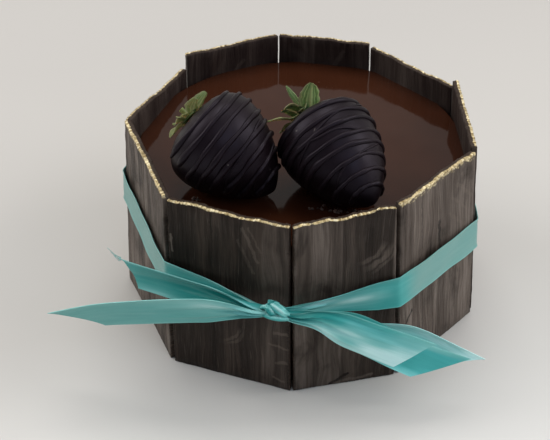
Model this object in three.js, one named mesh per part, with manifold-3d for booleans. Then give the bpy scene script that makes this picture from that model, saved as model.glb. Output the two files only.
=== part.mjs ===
// A round layer cake under poured ganache, fenced by nine dark chocolate panels with gilded rims.
// Two chocolate-dipped strawberries lie on the ganache, and a satin ribbon is tied round the panels.
//
// Millimetres, +Z up. The origin is the centre of the cake's flat underside. The knot of the ribbon
// faces -Y, and azimuths are degrees anticlockwise from +X seen from above.

import * as THREE from 'three';
import { mergeVertices } from 'three/addons/utils/BufferGeometryUtils.js';
import Module from 'manifold-3d';

const wasm = await Module();
wasm.setup();

// ---------------------------------------------------------------- driving dimensions

const GAP = 0.35;                     // clearance between neighbouring pieces

const CAKE = {
  radius: 79,                         // where no panel presses on it
  ganacheTop: 81,                     // level of the poured glaze
  shoulder: 5,                        // rounding of the glaze at its rim
  shoulderSteps: 5,
  segments: 72,
};

const PANEL_THICKNESS = 3;
const PANEL_HEIGHT = 96;
const PANEL_FOOT = 0.15;              // how far the panels' feet stay off the ground
const PANEL_STEPS = [12, 3];          // across each panel, and up it

// Corners of the ring of panels, anticlockwise from beside the knot: the radius and azimuth of
// the outer edge at the foot, and the same at full height, as the panels lean on the cake.
const CORNERS = [
  { foot: [86.8, 267.9], top: [86.3, 267.6] },
  { foot: [87.6, 302.3], top: [81.8, 302.0] },
  { foot: [91.0, 342.6], top: [85.6, 342.8] },
  { foot: [88.8, 23.5], top: [84.4, 23.5] },
  { foot: [86.8, 64.0], top: [82.4, 63.9] },
  { foot: [87.5, 98.9], top: [84.2, 98.9] },
  { foot: [89.1, 135.9], top: [86.1, 135.9] },
  { foot: [89.0, 182.1], top: [85.0, 181.2] },
  { foot: [90.4, 227.4], top: [88.9, 227.1] },
];

// Panel by panel from the same corner: how high its rim rises above PANEL_HEIGHT at its left and
// right end as seen from outside, and the height of the ripples between.
const RIMS = [
  { left: 0.2, right: 0.2, ripple: 1.0 },
  { left: 0.6, right: 0.8, ripple: 0.9 },
  { left: 1.6, right: 2.8, ripple: 0.5 },
  { left: -1.8, right: -1.8, ripple: 0.6 },
  { left: 0.2, right: 0.0, ripple: 0.5 },
  { left: 0.0, right: 0.2, ripple: 0.5 },
  { left: -8.0, right: 0.0, ripple: 0.7 },
  { left: 0.2, right: 0.6, ripple: 0.7 },
  { left: -0.4, right: 0.0, ripple: 0.8 },
];

// The two strawberries: the middle of the berry, its size, where its tip points and how far the
// tip dips, and the places along its length where a string of drizzle crosses it.
const BERRIES = {
  left: {
    middle: [-34.9, -35.8], length: 50, width: 47.5, heading: -27, dip: 31, slant: 0.03,
    strings: [0.10, 0.20, 0.31, 0.43, 0.54, 0.66, 0.78, 0.89],
  },
  right: {
    middle: [15.2, -37.2], length: 53, width: 45, heading: -54, dip: 20, slant: -0.03,
    strings: [0.16, 0.28, 0.37, 0.49, 0.58, 0.69, 0.80, 0.90],
  },
};
const BERRY_SHAPE = {
  shoulder: 0.30,                     // where a berry is widest, from its stem
  stemPower: 2.6,                     // bluntness of the outline towards the stem
  tipPowers: [1.68, 1.47],            // and towards the tip
  balance: 0.4,                       // the middle that a berry is placed by, from its stem
  lumps: 0.018,                       // unevenness of its girth
  segments: 30,
};
const STRING_WIDTH = 2.4;
const STRING_HEIGHT = 0.77;
const STRING_WANDER = 0.012;          // how far a string strays, as a share of the berry's length

const LEAF_THICKNESS = 0.8;
const LEAF_STEPS = [6, 2];            // along a leaf, and across it
const HUB = { radius: 4.5, height: 2.2 };
const STEM = { radius: 1.3, length: 5, tilt: 12 };
// Leaves of each calyx: turn round the stem, length, width, and rise away from the berry.
const CALYX_LEAVES = {
  left: [
    [2, 11, 8.5, 24], [38, 10, 8.0, 30], [84, 10, 6.5, 22], [140, 13, 7.5, 30],
    [200, 13, 7.0, 34], [255, 12, 7.0, 34], [318, 11, 8.0, 26],
  ],
  right: [
    [355, 16, 9.5, 24], [48, 17, 7.0, 44], [78, 13, 9.0, 30], [112, 15, 9.5, 22],
    [165, 15, 8.5, 16], [222, 15, 7.5, 24], [282, 13, 7.5, 12],
  ],
};

const RIBBON_WIDTH = 16.5;
const RIBBON_THICKNESS = 0.7;
const KNOT = { centre: [-9.8, -91.8, 52.6], size: [14.4, 9, 11], folds: 0.10 };
const BAND = {
  start: 257.8, end: 268.9,           // azimuths where it leaves the knot, left and right
  // Height of its middle at the knot, on each corner clockwise round the back, and at the knot.
  heights: [51.8, 53.5, 58.8, 60.0, 59.0, 56.5, 53.0, 49.5, 50.2, 51.4],
  gather: 28, gatheredWidth: 7,       // degrees of azimuth over which it narrows to the knot
  liftLeft: 5, liftRight: 1,          // how far it stands off the panels as it meets the knot
  clearance: 0.6,
  cornerSharpness: 150,
  stepsPerFace: 5,
};

// Loose ends of the ribbon: the middle line, how far the upper edge leans outward along it, the
// width at the knot, and how much longer the upper edge is than the lower one where it is cut.
const TAIL_SPREAD = [-6, 26];         // the length along an end over which it widens
const TAIL_STEPS = [14, 2];           // along an end, and across it
const TAILS = {
  left_upper: {
    route: [[-18.6, -90.6, 54.3], [-33, -88.2, 57.4], [-48, -84.0, 59.4], [-63, -77.5, 59.4],
      [-80.0, -68.6, 58.6]],
    lean: [12, 12, 13, 14, 14], neck: 4.5, skew: 7,
  },
  left_lower: {
    route: [[-18.6, -94.6, 55.4], [-33, -96.0, 58.4], [-55, -92.8, 55.7], [-76, -88.0, 49.3],
      [-92, -83.5, 43.8], [-111.1, -78.8, 35.1]],
    lean: [10, 12, 13, 15, 17, 17], neck: 3.6, skew: 21.6,
  },
  right_front: {
    route: [[-0.6, -95.6, 53.6], [8, -98.0, 54.6], [18, -100.5, 53.0], [33, -103.5, 48.6],
      [57.2, -106.2, 39.4]],
    lean: [-10, -15, -16, -24, -30], neck: 4, skew: 13.5,
  },
  right_back: {
    route: [[-0.4, -91.2, 50.4], [12.4, -94.0, 50.0], [29.5, -94.2, 42.7], [45.9, -95.9, 34.2],
      [75.6, -98.1, 22.4]],
    lean: [-5, -28, -36, -38, -38], neck: 6, skew: 24,
  },
};

const COLOURS = {
  ganache: { color: 0x3a211b, roughness: 0.12, metalness: 0 },
  panel: { color: 0x352a26, roughness: 0.45, metalness: 0 },
  berry: { color: 0x231b1e, roughness: 0.4, metalness: 0 },
  leaf: { color: 0x4c6b2a, roughness: 0.6, metalness: 0 },
  satin: { color: 0x3f9c94, roughness: 0.35, metalness: 0 },
};

// ---------------------------------------------------------------- small helpers

const radians = THREE.MathUtils.degToRad;
const cake = new THREE.Group();

// A direction in the ground plane.
const compass = (azimuth) => new THREE.Vector3(Math.cos(radians(azimuth)), Math.sin(radians(azimuth)), 0);

// A node of the cake, with a material of its own.
function addNode(name, geometry, finish) {
  const mesh = new THREE.Mesh(geometry, new THREE.MeshStandardMaterial(finish));
  mesh.name = name;
  cake.add(mesh);
  return mesh;
}

// Linear reading of a short list of values spread evenly over 0..1.
function along(values, t) {
  const place = THREE.MathUtils.clamp(t, 0, 1) * (values.length - 1);
  const index = Math.min(Math.floor(place), values.length - 2);
  return THREE.MathUtils.lerp(values[index], values[index + 1], place - index);
}

// A closed thin solid round the middle surface at(u, v): both faces are split into triangles
// alike, half a thickness to either side, and four narrow strips close the border.
function thinSolid(at, thickness, stepsU, stepsV) {
  const step = 1e-3;
  const positions = [];
  const index = [];
  const row = stepsV + 1;
  const perFace = (stepsU + 1) * row;
  for (const side of [1, -1]) {
    for (let i = 0; i <= stepsU; i += 1) {
      for (let j = 0; j <= stepsV; j += 1) {
        const u = i / stepsU;
        const v = j / stepsV;
        const du = at(Math.min(u + step, 1), v).sub(at(Math.max(u - step, 0), v));
        const dv = at(u, Math.min(v + step, 1)).sub(at(u, Math.max(v - step, 0)));
        const normal = du.cross(dv).normalize();
        const point = at(u, v).addScaledVector(normal, side * thickness / 2);
        positions.push(point.x, point.y, point.z);
      }
    }
  }
  const quad = (a, b, c, d) => index.push(a, b, c, a, c, d);
  for (let i = 0; i < stepsU; i += 1) {
    for (let j = 0; j < stepsV; j += 1) {
      const a = i * row + j;
      quad(a, a + row, a + row + 1, a + 1);
      const b = a + perFace;
      index.push(b, b + row + 1, b + row, b, b + 1, b + row + 1);
    }
  }
  for (let i = 0; i < stepsU; i += 1) {
    const first = i * row;
    const last = first + stepsV;
    quad(first, first + perFace, first + perFace + row, first + row);
    quad(last + row, last + perFace + row, last + perFace, last);
  }
  for (let j = 0; j < stepsV; j += 1) {
    const last = stepsU * row + j;
    quad(j + 1, j + 1 + perFace, j + perFace, j);
    quad(last, last + perFace, last + perFace + 1, last + 1);
  }
  const geometry = new THREE.BufferGeometry();
  geometry.setAttribute('position', new THREE.Float32BufferAttribute(positions, 3));
  geometry.setIndex(index);
  return geometry;
}

// A closed geometry as a solid that can be joined to another, and back.
function toSolid(geometry) {
  const bare = geometry.clone();
  bare.deleteAttribute('normal');
  bare.deleteAttribute('uv');
  const merged = mergeVertices(bare, 1e-4);
  const vertProperties = new Float32Array(merged.getAttribute('position').array);
  const triVerts = new Uint32Array(merged.getIndex().array);
  return new wasm.Manifold(new wasm.Mesh({ numProp: 3, vertProperties, triVerts }));
}

function toGeometry(solid) {
  const { vertProperties, triVerts } = solid.getMesh();
  const geometry = new THREE.BufferGeometry();
  geometry.setAttribute('position', new THREE.BufferAttribute(new Float32Array(vertProperties), 3));
  geometry.setIndex(new THREE.BufferAttribute(new Uint32Array(triVerts), 1));
  return geometry;
}

// ---------------------------------------------------------------- panels

// A corner's outer edge at a height, in the ground plane.
function cornerAt(number, z) {
  const { foot, top } = CORNERS[number % CORNERS.length];
  const low = compass(foot[1]).multiplyScalar(foot[0]);
  const high = compass(top[1]).multiplyScalar(top[0]);
  return low.lerp(high, z / PANEL_HEIGHT);
}

// The outward normal of a panel at a height, and its distance from the axis there.
function faceAt(number, z) {
  const start = cornerAt(number, z);
  const run = cornerAt(number + 1, z).sub(start).normalize();
  const normal = new THREE.Vector3(run.y, -run.x, 0);
  return { normal, distance: normal.dot(start) };
}

// Radius of the ring of panels at an azimuth and height, measured to their faces plus an offset.
// A high sharpness keeps the corners crisp, and a low one rounds them.
function ringRadius(azimuth, z, offset, sharpness, limit = Infinity) {
  const direction = compass(azimuth);
  const glancing = 0.3;
  let sum = limit ** -sharpness;
  for (let number = 0; number < CORNERS.length; number += 1) {
    const { normal, distance } = faceAt(number, z);
    const facing = normal.dot(direction);
    if (facing > glancing) {
      sum += ((distance + offset) / facing) ** -sharpness;
    }
  }
  return sum ** (-1 / sharpness);
}

// One slab between two corners. Its sides stop short of the corners, so that square-cut
// neighbours leave a narrow groove, and its rim is uneven.
function addPanel(number) {
  const rim = RIMS[number];
  const setBack = (neighbour, z) => {
    const turn = faceAt(number, z).normal.angleTo(faceAt(neighbour % CORNERS.length, z).normal);
    return PANEL_THICKNESS * Math.tan(turn / 2) + GAP;
  };
  const waves = [[0.55, 9.1, 2.3], [0.45, 23.7, 1.1]];
  const ripple = (u) => waves.reduce(
    (sum, [height, count, shift]) => sum + height * Math.sin(count * u + shift * number),
    0,
  );
  const surface = (u, v) => {
    const rimHeight = PANEL_HEIGHT + THREE.MathUtils.lerp(rim.left, rim.right, u) + rim.ripple * ripple(u);
    const z = THREE.MathUtils.lerp(PANEL_FOOT, rimHeight, v);
    const start = cornerAt(number, z);
    const end = cornerAt(number + 1, z);
    const length = start.distanceTo(end);
    const from = setBack(number + CORNERS.length - 1, z);
    const to = length - setBack(number + 1, z);
    const point = start.lerp(end, THREE.MathUtils.lerp(from, to, u) / length);
    return point.addScaledVector(faceAt(number, z).normal, -PANEL_THICKNESS / 2).setZ(z);
  };
  addNode(`panel_${number + 1}`, thinSolid(surface, PANEL_THICKNESS, ...PANEL_STEPS), COLOURS.panel);
}

// ---------------------------------------------------------------- cake

// A lathed profile whose radius of 1 is then stretched to the space that the panels leave.
function addCake() {
  const inner = -PANEL_THICKNESS - GAP;
  const roundness = 60;
  const profile = [new THREE.Vector2(0, 0), new THREE.Vector2(1, 0)];
  profile.push(new THREE.Vector2(1, CAKE.ganacheTop / 2));
  for (let step = 0; step <= CAKE.shoulderSteps; step += 1) {
    const angle = (step / CAKE.shoulderSteps) * Math.PI / 2;
    const reach = CAKE.shoulder / CAKE.radius;
    profile.push(new THREE.Vector2(
      1 - reach * (1 - Math.cos(angle)),
      CAKE.ganacheTop - CAKE.shoulder * (1 - Math.sin(angle)),
    ));
  }
  profile.push(new THREE.Vector2(0, CAKE.ganacheTop));

  const body = new THREE.LatheGeometry(profile, CAKE.segments);
  body.rotateX(Math.PI / 2);
  const position = body.getAttribute('position');
  for (let i = 0; i < position.count; i += 1) {
    const azimuth = THREE.MathUtils.radToDeg(Math.atan2(position.getY(i), position.getX(i)));
    const z = position.getZ(i);
    const radius = ringRadius(azimuth, z, inner, roundness, CAKE.radius);
    position.setXY(i, position.getX(i) * radius, position.getY(i) * radius);
  }
  addNode('cake', body, COLOURS.ganache);
}

// ---------------------------------------------------------------- strawberries

// Half the outline of a berry, from 0 at the stem through its widest place to 0 at the tip.
function berryOutline(t) {
  const { shoulder, stemPower, tipPowers } = BERRY_SHAPE;
  if (t < shoulder) {
    return (1 - ((shoulder - t) / shoulder) ** stemPower) ** (1 / stemPower);
  }
  const tipSide = (t - shoulder) / (1 - shoulder);
  return Math.max(1 - tipSide ** tipPowers[0], 0) ** (1 / tipPowers[1]);
}

// Rings of the berry from stem to tip: plain ones, and four for each string of drizzle.
function berryRings(berry) {
  const half = STRING_WIDTH / berry.length / 2;
  const crown = half * 0.45;
  const rings = [0, 0.004, 0.03].map((t) => ({ t, lift: 0 }));
  for (const t of berry.strings) {
    rings.push({ t: t - half, lift: 0 }, { t: t - crown, lift: 1 });
    rings.push({ t: t + crown, lift: 1 }, { t: t + half, lift: 0 });
  }
  return rings.concat([0.965, 0.993, 1].map((t) => ({ t, lift: 0 })));
}

// The frame of a berry: Y runs from stem to tip, Z is as upright as it can be.
function berryFrame(berry) {
  const y = compass(berry.heading).multiplyScalar(Math.cos(radians(berry.dip)));
  y.z = -Math.sin(radians(berry.dip));
  const z = new THREE.Vector3(0, 0, 1).addScaledVector(y, -y.z).normalize();
  const x = new THREE.Vector3().crossVectors(y, z);
  return new THREE.Matrix4().makeBasis(x, y, z);
}

// The strings are slanted rings that fade out on the underside, where none fell.
function berryGeometry(berry, seed) {
  const rings = berryRings(berry);
  const half = berry.width / 2;
  const profile = rings.map(({ t }) => new THREE.Vector2(berryOutline(t) * half, t * berry.length));
  const body = new THREE.LatheGeometry(profile, BERRY_SHAPE.segments);
  const position = body.getAttribute('position');
  for (let i = 0; i < position.count; i += 1) {
    const { t, lift } = rings[i % rings.length];
    const around = Math.atan2(position.getX(i), position.getZ(i));
    const bell = Math.sin(Math.PI * THREE.MathUtils.clamp(t, 0, 1));
    const wander = STRING_WANDER * Math.sin(3 * around + 7 * t + seed);
    const shift = bell * (berry.slant * Math.sin(around) + wander);
    const moved = THREE.MathUtils.clamp(t + shift, 0, 1);
    const onTop = THREE.MathUtils.smoothstep(Math.cos(around), -0.75, -0.15);
    const lumpy = 1 + BERRY_SHAPE.lumps * Math.sin(2 * around + seed) * bell;
    const radius = berryOutline(moved) * half * lumpy + lift * STRING_HEIGHT * onTop;
    position.setXYZ(i, radius * Math.sin(around), moved * berry.length, radius * Math.cos(around));
  }
  body.translate(0, -BERRY_SHAPE.balance * berry.length, 0);
  return body;
}

// The berry lies on the ganache: it is lowered until its lowest point is one gap above.
function addStrawberry(side, seed) {
  const berry = BERRIES[side];
  const body = berryGeometry(berry, seed);
  const frame = berryFrame(berry);
  const resting = body.clone().applyMatrix4(frame);
  resting.computeBoundingBox();
  const height = CAKE.ganacheTop + GAP - resting.boundingBox.min.z;
  const place = new THREE.Vector3(berry.middle[0], berry.middle[1], height);
  const mesh = addNode(`strawberry_${side}`, body, COLOURS.berry);
  mesh.quaternion.setFromRotationMatrix(frame);
  mesh.position.copy(place);
  addCalyx(side, frame, place);
}

// ---------------------------------------------------------------- leaves

// One sepal in the berry's frame: it springs from the hub, rises away from the berry and droops
// towards its tip, with a cupped, wavy blade that ends in a point.
function leafGeometry([turn, length, width, rise], stemY) {
  const radial = new THREE.Vector3(Math.sin(radians(turn)), 0, Math.cos(radians(turn)));
  const across = new THREE.Vector3(Math.cos(radians(turn)), 0, -Math.sin(radians(turn)));
  const root = { reach: HUB.radius / 2, lift: 0.6, width: 0.38 };
  const cup = 0.9;
  const wave = 0.5;
  const blade = (u, v) => {
    const side = 2 * v - 1;
    const reach = root.reach + length * u * Math.cos(radians(rise * (1 - u / 2)));
    const droop = 1 - 0.35 * u;
    const lift = root.lift + length * Math.sin(radians(rise)) * u * droop;
    const belly = Math.sin(Math.PI * Math.min(u * 1.15 + 0.12, 1));
    const point = 1 - 0.75 * u ** 6;
    const halfWidth = width / 2 * THREE.MathUtils.lerp(root.width, 1, belly) * point;
    const bend = cup * side * side * Math.sin(Math.PI * u) + wave * Math.sin(6 * u + turn) * side;
    return new THREE.Vector3(0, stemY - lift - bend, 0)
      .addScaledVector(radial, reach)
      .addScaledVector(across, halfWidth * side);
  };
  return thinSolid(blade, LEAF_THICKNESS, ...LEAF_STEPS);
}

// Leaves and a short stem joined on a small domed hub, just clear of the dipped berry.
function addCalyx(side, frame, place) {
  const stemY = -BERRY_SHAPE.balance * BERRIES[side].length - GAP;
  const hub = new THREE.CylinderGeometry(HUB.radius, HUB.radius * 0.45, HUB.height, 14);
  hub.translate(0, stemY - HUB.height / 2, 0);
  const stem = new THREE.CylinderGeometry(STEM.radius, STEM.radius * 0.77, STEM.length, 8);
  stem.rotateX(radians(STEM.tilt));
  stem.translate(0, stemY - HUB.height * 0.73 - STEM.length / 2, 0);
  let calyx = toSolid(hub).add(toSolid(stem));
  for (const leaf of CALYX_LEAVES[side]) {
    calyx = calyx.add(toSolid(leafGeometry(leaf, stemY)));
  }
  const mesh = addNode(`calyx_${side}`, toGeometry(calyx), COLOURS.leaf);
  mesh.quaternion.setFromRotationMatrix(frame);
  mesh.position.copy(place);
}

// ---------------------------------------------------------------- ribbon

// Azimuths at which the band is shaped: on each corner of the ring of panels, and evenly between.
function bandStations() {
  const turned = (azimuth) => THREE.MathUtils.euclideanModulo(BAND.start - azimuth, 360);
  const corners = CORNERS.map((corner, number) => {
    const edge = cornerAt(number, BAND.heights[0]);
    return turned(THREE.MathUtils.radToDeg(Math.atan2(edge.y, edge.x)));
  });
  const sweep = turned(BAND.end);
  const places = [0, ...corners.filter((turn) => turn < sweep).sort((a, b) => a - b), sweep];
  const stations = [0];
  for (let i = 1; i < places.length; i += 1) {
    for (let step = 1; step <= BAND.stepsPerFace; step += 1) {
      stations.push(THREE.MathUtils.lerp(places[i - 1], places[i], step / BAND.stepsPerFace));
    }
  }
  return stations;
}

// The band lies flat on the panels, and gathers and lifts as it nears the knot from either side.
function addBand() {
  const stations = bandStations();
  const sweep = stations[stations.length - 1];
  const clear = BAND.clearance + RIBBON_THICKNESS / 2;
  const gathering = 1.6;
  const surface = (u, v) => {
    const turn = along(stations, u);
    const azimuth = BAND.start - turn;
    const nearKnot = Math.min(turn / BAND.gather, (sweep - turn) / BAND.gather, 1);
    const width = THREE.MathUtils.lerp(BAND.gatheredWidth, RIBBON_WIDTH, nearKnot ** gathering);
    const z = along(BAND.heights, u) + (0.5 - v) * width;
    const lift = turn < sweep / 2 ? BAND.liftLeft : BAND.liftRight;
    const offset = clear + lift * (1 - nearKnot) ** 3;
    const radius = ringRadius(azimuth, z, offset, BAND.cornerSharpness);
    return compass(azimuth).multiplyScalar(radius).setZ(z);
  };
  addNode('ribbon_band', thinSolid(surface, RIBBON_THICKNESS, stations.length - 1, 1), COLOURS.satin);
}

// A crumpled lump of ribbon: a ball flattened to size, with folds running across it.
function addKnot() {
  const lump = new THREE.SphereGeometry(0.5, 20, 12);
  const position = lump.getAttribute('position');
  for (let i = 0; i < position.count; i += 1) {
    const x = position.getX(i);
    const y = position.getY(i);
    const z = position.getZ(i);
    const deepFold = KNOT.folds * Math.sin(14 * z + 7 * x) * (1 - 4 * z * z);
    const shallowFold = KNOT.folds / 2 * Math.cos(11 * x - 5 * z);
    const swell = 1 + deepFold - shallowFold;
    position.setXYZ(i, x * swell, y * swell, z * swell);
  }
  lump.scale(...KNOT.size);
  lump.translate(...KNOT.centre);
  addNode('ribbon_knot', lump, COLOURS.satin);
}

// A loose end: a strip of even thickness that widens out of the knot and is cut at a slant.
function addTail(name, tail) {
  const curve = new THREE.CatmullRomCurve3(tail.route.map((p) => new THREE.Vector3(...p)));
  const length = curve.getLength();
  const surface = (u, v) => {
    const edge = 0.5 - v;
    const t = u * (1 - tail.skew * v / length);
    const centre = curve.getPointAt(t);
    const tangent = curve.getTangentAt(t);
    const upright = new THREE.Vector3(0, 0, 1).addScaledVector(tangent, -tangent.z).normalize();
    const outward = new THREE.Vector3().crossVectors(tangent, upright);
    if (outward.y > 0) {
      outward.negate();
    }
    const lean = radians(along(tail.lean, t));
    const spread = THREE.MathUtils.smoothstep(t * length, ...TAIL_SPREAD);
    const width = THREE.MathUtils.lerp(tail.neck, RIBBON_WIDTH, spread);
    return centre
      .addScaledVector(upright, Math.cos(lean) * width * edge)
      .addScaledVector(outward, Math.sin(lean) * width * edge);
  };
  addNode(`ribbon_tail_${name}`, thinSolid(surface, RIBBON_THICKNESS, ...TAIL_STEPS), COLOURS.satin);
}

// ---------------------------------------------------------------- the whole cake

addCake();
CORNERS.forEach((corner, number) => addPanel(number));
addStrawberry('left', 0.4);
addStrawberry('right', 2.1);
addBand();
addKnot();
for (const [name, tail] of Object.entries(TAILS)) {
  addTail(name, tail);
}

export default cake;
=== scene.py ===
# %% [markdown]
# # A glazed chocolate cake, fenced with chocolate panels and tied with a ribbon
# This lesson dresses a ready construction of the cake. The sizes and places are already right in
# the frame that is loaded first, so each step only asks: what is this piece on the real cake, and
# how does its surface come about? Everything is in metres, with +Z up and the knot facing -Y.

# %% Load the frame
import math

import bpy
import numpy as np
from mathutils import Matrix, Vector


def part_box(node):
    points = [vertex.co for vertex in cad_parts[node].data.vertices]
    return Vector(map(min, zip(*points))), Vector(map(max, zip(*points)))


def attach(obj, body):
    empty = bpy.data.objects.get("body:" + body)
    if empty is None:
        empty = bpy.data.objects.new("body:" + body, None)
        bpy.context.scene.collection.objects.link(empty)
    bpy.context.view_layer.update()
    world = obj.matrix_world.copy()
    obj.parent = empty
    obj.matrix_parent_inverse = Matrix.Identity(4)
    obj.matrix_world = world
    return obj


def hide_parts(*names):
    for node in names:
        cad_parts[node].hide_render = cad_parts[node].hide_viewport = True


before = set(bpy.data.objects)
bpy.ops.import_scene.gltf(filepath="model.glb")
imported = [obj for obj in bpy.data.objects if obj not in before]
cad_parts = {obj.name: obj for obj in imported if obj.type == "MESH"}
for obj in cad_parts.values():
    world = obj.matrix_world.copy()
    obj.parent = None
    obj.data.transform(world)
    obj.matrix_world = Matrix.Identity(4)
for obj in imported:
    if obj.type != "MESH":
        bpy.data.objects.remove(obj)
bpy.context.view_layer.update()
MM = 0.001
CM = 0.01

# %% [markdown]
# ## Small helpers
# Operators act on whatever is selected, so each helper first clears the selection and then picks
# its own piece. Faces, edges and vertices are picked by a test on their place, which does by rule
# what the mouse does by hand.

# %% Picking and modifying
def pick(obj):
    """Selects one object alone and makes it active."""
    if bpy.context.object and bpy.context.object.mode != "OBJECT":
        bpy.ops.object.mode_set(mode="OBJECT")
    bpy.ops.object.select_all(action="DESELECT")
    obj.select_set(True)
    bpy.context.view_layer.objects.active = obj
    return obj


def open_all(obj):
    """Opens edit mode on the whole mesh."""
    pick(obj)
    bpy.ops.object.mode_set(mode="EDIT")
    bpy.ops.mesh.select_mode(type="FACE")
    bpy.ops.mesh.select_all(action="SELECT")


def open_where(obj, kind, test):
    """Opens edit mode on the vertices, edges or faces that pass a test."""
    open_all(obj)
    bpy.ops.mesh.select_mode(type=kind)
    bpy.ops.mesh.select_all(action="DESELECT")
    bpy.ops.object.mode_set(mode="OBJECT")
    mesh = obj.data
    for item in {"VERT": mesh.vertices, "EDGE": mesh.edges, "FACE": mesh.polygons}[kind]:
        item.select = bool(test(item))
    bpy.ops.object.mode_set(mode="EDIT")


def close():
    """Leaves edit mode."""
    bpy.ops.object.mode_set(mode="OBJECT")


def modify(obj, kind, **settings):
    """Adds a modifier, sets it and applies it at once."""
    pick(obj)
    modifier = obj.modifiers.new(kind.title(), kind)
    for name, value in settings.items():
        setattr(modifier, name, value)
    bpy.ops.object.modifier_apply(modifier=modifier.name)


def settle(obj):
    """Moves an object's place into its mesh, so that the object itself is at the origin."""
    pick(obj)
    bpy.ops.object.transform_apply(location=True, rotation=True, scale=True)
    return obj


def smooth(obj, degrees=35):
    """Smooth shading that keeps edges sharper than the angle."""
    pick(obj)
    bpy.ops.object.shade_smooth_by_angle(angle=math.radians(degrees), keep_sharp_edges=False)
    return obj


def places(obj):
    """The vertices of a mesh as rows of x, y, z."""
    flat = np.empty(len(obj.data.vertices) * 3)
    obj.data.vertices.foreach_get("co", flat)
    return flat.reshape(-1, 3)


def place(obj, rows):
    """Puts the vertices of a mesh at rows of x, y, z."""
    obj.data.vertices.foreach_set("co", np.asarray(rows, float).ravel())
    obj.data.update()
    return obj


def give_uv(obj, name, pairs):
    """Lays a UV map whose pair of values is given for each vertex."""
    layer = obj.data.uv_layers.get(name) or obj.data.uv_layers.new(name=name)
    loops = np.empty(len(obj.data.loops), int)
    obj.data.loops.foreach_get("vertex_index", loops)
    layer.data.foreach_set("uv", np.asarray(pairs, float)[loops].ravel())


def give_value(obj, name, values):
    """Stores one number at each vertex, for a material to read."""
    attribute = obj.data.attributes.new(name, "FLOAT", "POINT")
    attribute.data.foreach_set("value", np.broadcast_to(values, len(obj.data.vertices)).astype(np.float32))


def weigh(obj, name, weights):
    """Makes a vertex group with a weight for each vertex."""
    group = obj.vertex_groups.new(name=name)
    for index, weight in enumerate(weights):
        if weight > 0.01:
            group.add([index], float(weight), "REPLACE")


def smoothstep(x, low, high):
    """0 below low, 1 above high, and a soft rise between."""
    share = np.clip((x - low) / (high - low), 0, 1)
    return share * share * (3 - 2 * share)


def clouds(name, size):
    """A soft procedural noise for Displace, with features of about this size."""
    texture = bpy.data.textures.new(name, "CLOUDS")
    texture.noise_scale = size
    return texture


def finish(obj, material, slot, *nodes):
    """A finished piece: its material, its body and the nodes that it stands for; the slot is not used."""
    settle(obj)
    obj.data.materials.clear()
    obj.data.materials.append(material)
    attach(obj, "root")
    if nodes:
        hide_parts(*nodes)
    print(f"{obj.name}: {len(obj.data.vertices)} vertices")
    return obj


# %% [markdown]
# ## Camera
# The view is from above the front edge, through a long lens. Its place and angles are those of
# the photograph, so every piece can be compared with it.

# %% Camera
camera_data = bpy.data.cameras.new("camera")
camera_data.lens = 89.89
camera_data.sensor_width = 36
camera = bpy.data.objects.new("camera", camera_data)
bpy.context.scene.collection.objects.link(camera)
bpy.context.scene.camera = camera

yaw, pitch, roll = math.radians(-1.439), math.radians(37.299), math.radians(-0.184)
forward = Vector((math.sin(yaw) * math.cos(pitch), math.cos(yaw) * math.cos(pitch), -math.sin(pitch)))
level = forward.cross(Vector((0, 0, 1))).normalized()
upward = level.cross(forward)
right = math.cos(roll) * level + math.sin(roll) * upward
top = math.cos(roll) * upward - math.sin(roll) * level
camera.matrix_world = Matrix((right, top, -forward)).transposed().to_4x4()
camera.location = (0.00100, -0.55215, 0.45609)
print("camera looks down by", round(math.degrees(pitch), 1), "degrees")

# %% [markdown]
# ## Floor, light and backdrop
# A glossy glaze shows mostly what it mirrors, so the room matters as much as the lamps. The world
# stands for pale walls: bright behind the cake and at its sides, and dim in front, where the
# photographer stands. Soft lamps stand at the sides and high behind, and a weak cool one in front.

# %% Floor and lights
bpy.context.scene.view_settings.view_transform = "Standard"
world = bpy.data.worlds.new("pale_room")
bpy.context.scene.world = world
world.use_nodes = True
room = world.node_tree
background = room.nodes["Background"]
background.inputs["Strength"].default_value = 0.55
split = room.nodes.new("ShaderNodeSeparateXYZ")
room.links.new(room.nodes.new("ShaderNodeTexCoord").outputs["Generated"], split.inputs[0])
depth_of_room = room.nodes.new("ShaderNodeMapRange")
depth_of_room.inputs["From Min"].default_value = -0.9
depth_of_room.inputs["From Max"].default_value = 0.2
room.links.new(split.outputs["Y"], depth_of_room.inputs["Value"])
walls = room.nodes.new("ShaderNodeValToRGB")
walls.color_ramp.elements[0].color = (0.34, 0.36, 0.40, 1)
walls.color_ramp.elements[1].color = (0.88, 0.85, 0.82, 1)
room.links.new(depth_of_room.outputs[0], walls.inputs[0])
room.links.new(walls.outputs[0], background.inputs["Color"])

bpy.ops.mesh.primitive_plane_add(size=6, location=(0, 0, 0))
floor = bpy.context.object
floor.name = "floor"

LAMPS = [
    # name, place, size, power in watts, colour
    ("lamp_left", (-1.1, 0.2, 0.9), 0.9, 8, (1.0, 0.98, 0.95)),
    ("lamp_right", (1.2, 0.0, 0.9), 0.9, 10, (1.0, 0.98, 0.96)),
    ("lamp_back", (0.0, 0.6, 1.7), 1.0, 12, (1.0, 0.98, 0.95)),
    ("lamp_front", (0.7, -1.1, 1.1), 0.8, 4, (0.76, 0.85, 1.0)),
]
for lamp_name, lamp_place, lamp_size, power, lamp_colour in LAMPS:
    lamp_data = bpy.data.lights.new(lamp_name, "AREA")
    lamp_data.shape = "SQUARE"
    lamp_data.size = lamp_size
    lamp_data.energy = power
    lamp_data.color = lamp_colour
    lamp = bpy.data.objects.new(lamp_name, lamp_data)
    bpy.context.scene.collection.objects.link(lamp)
    lamp.location = lamp_place
    lamp.rotation_euler = (Vector((0, 0, 0.05)) - lamp.location).to_track_quat("-Z", "Y").to_euler()
print(len(LAMPS), "soft lamps")

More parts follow.
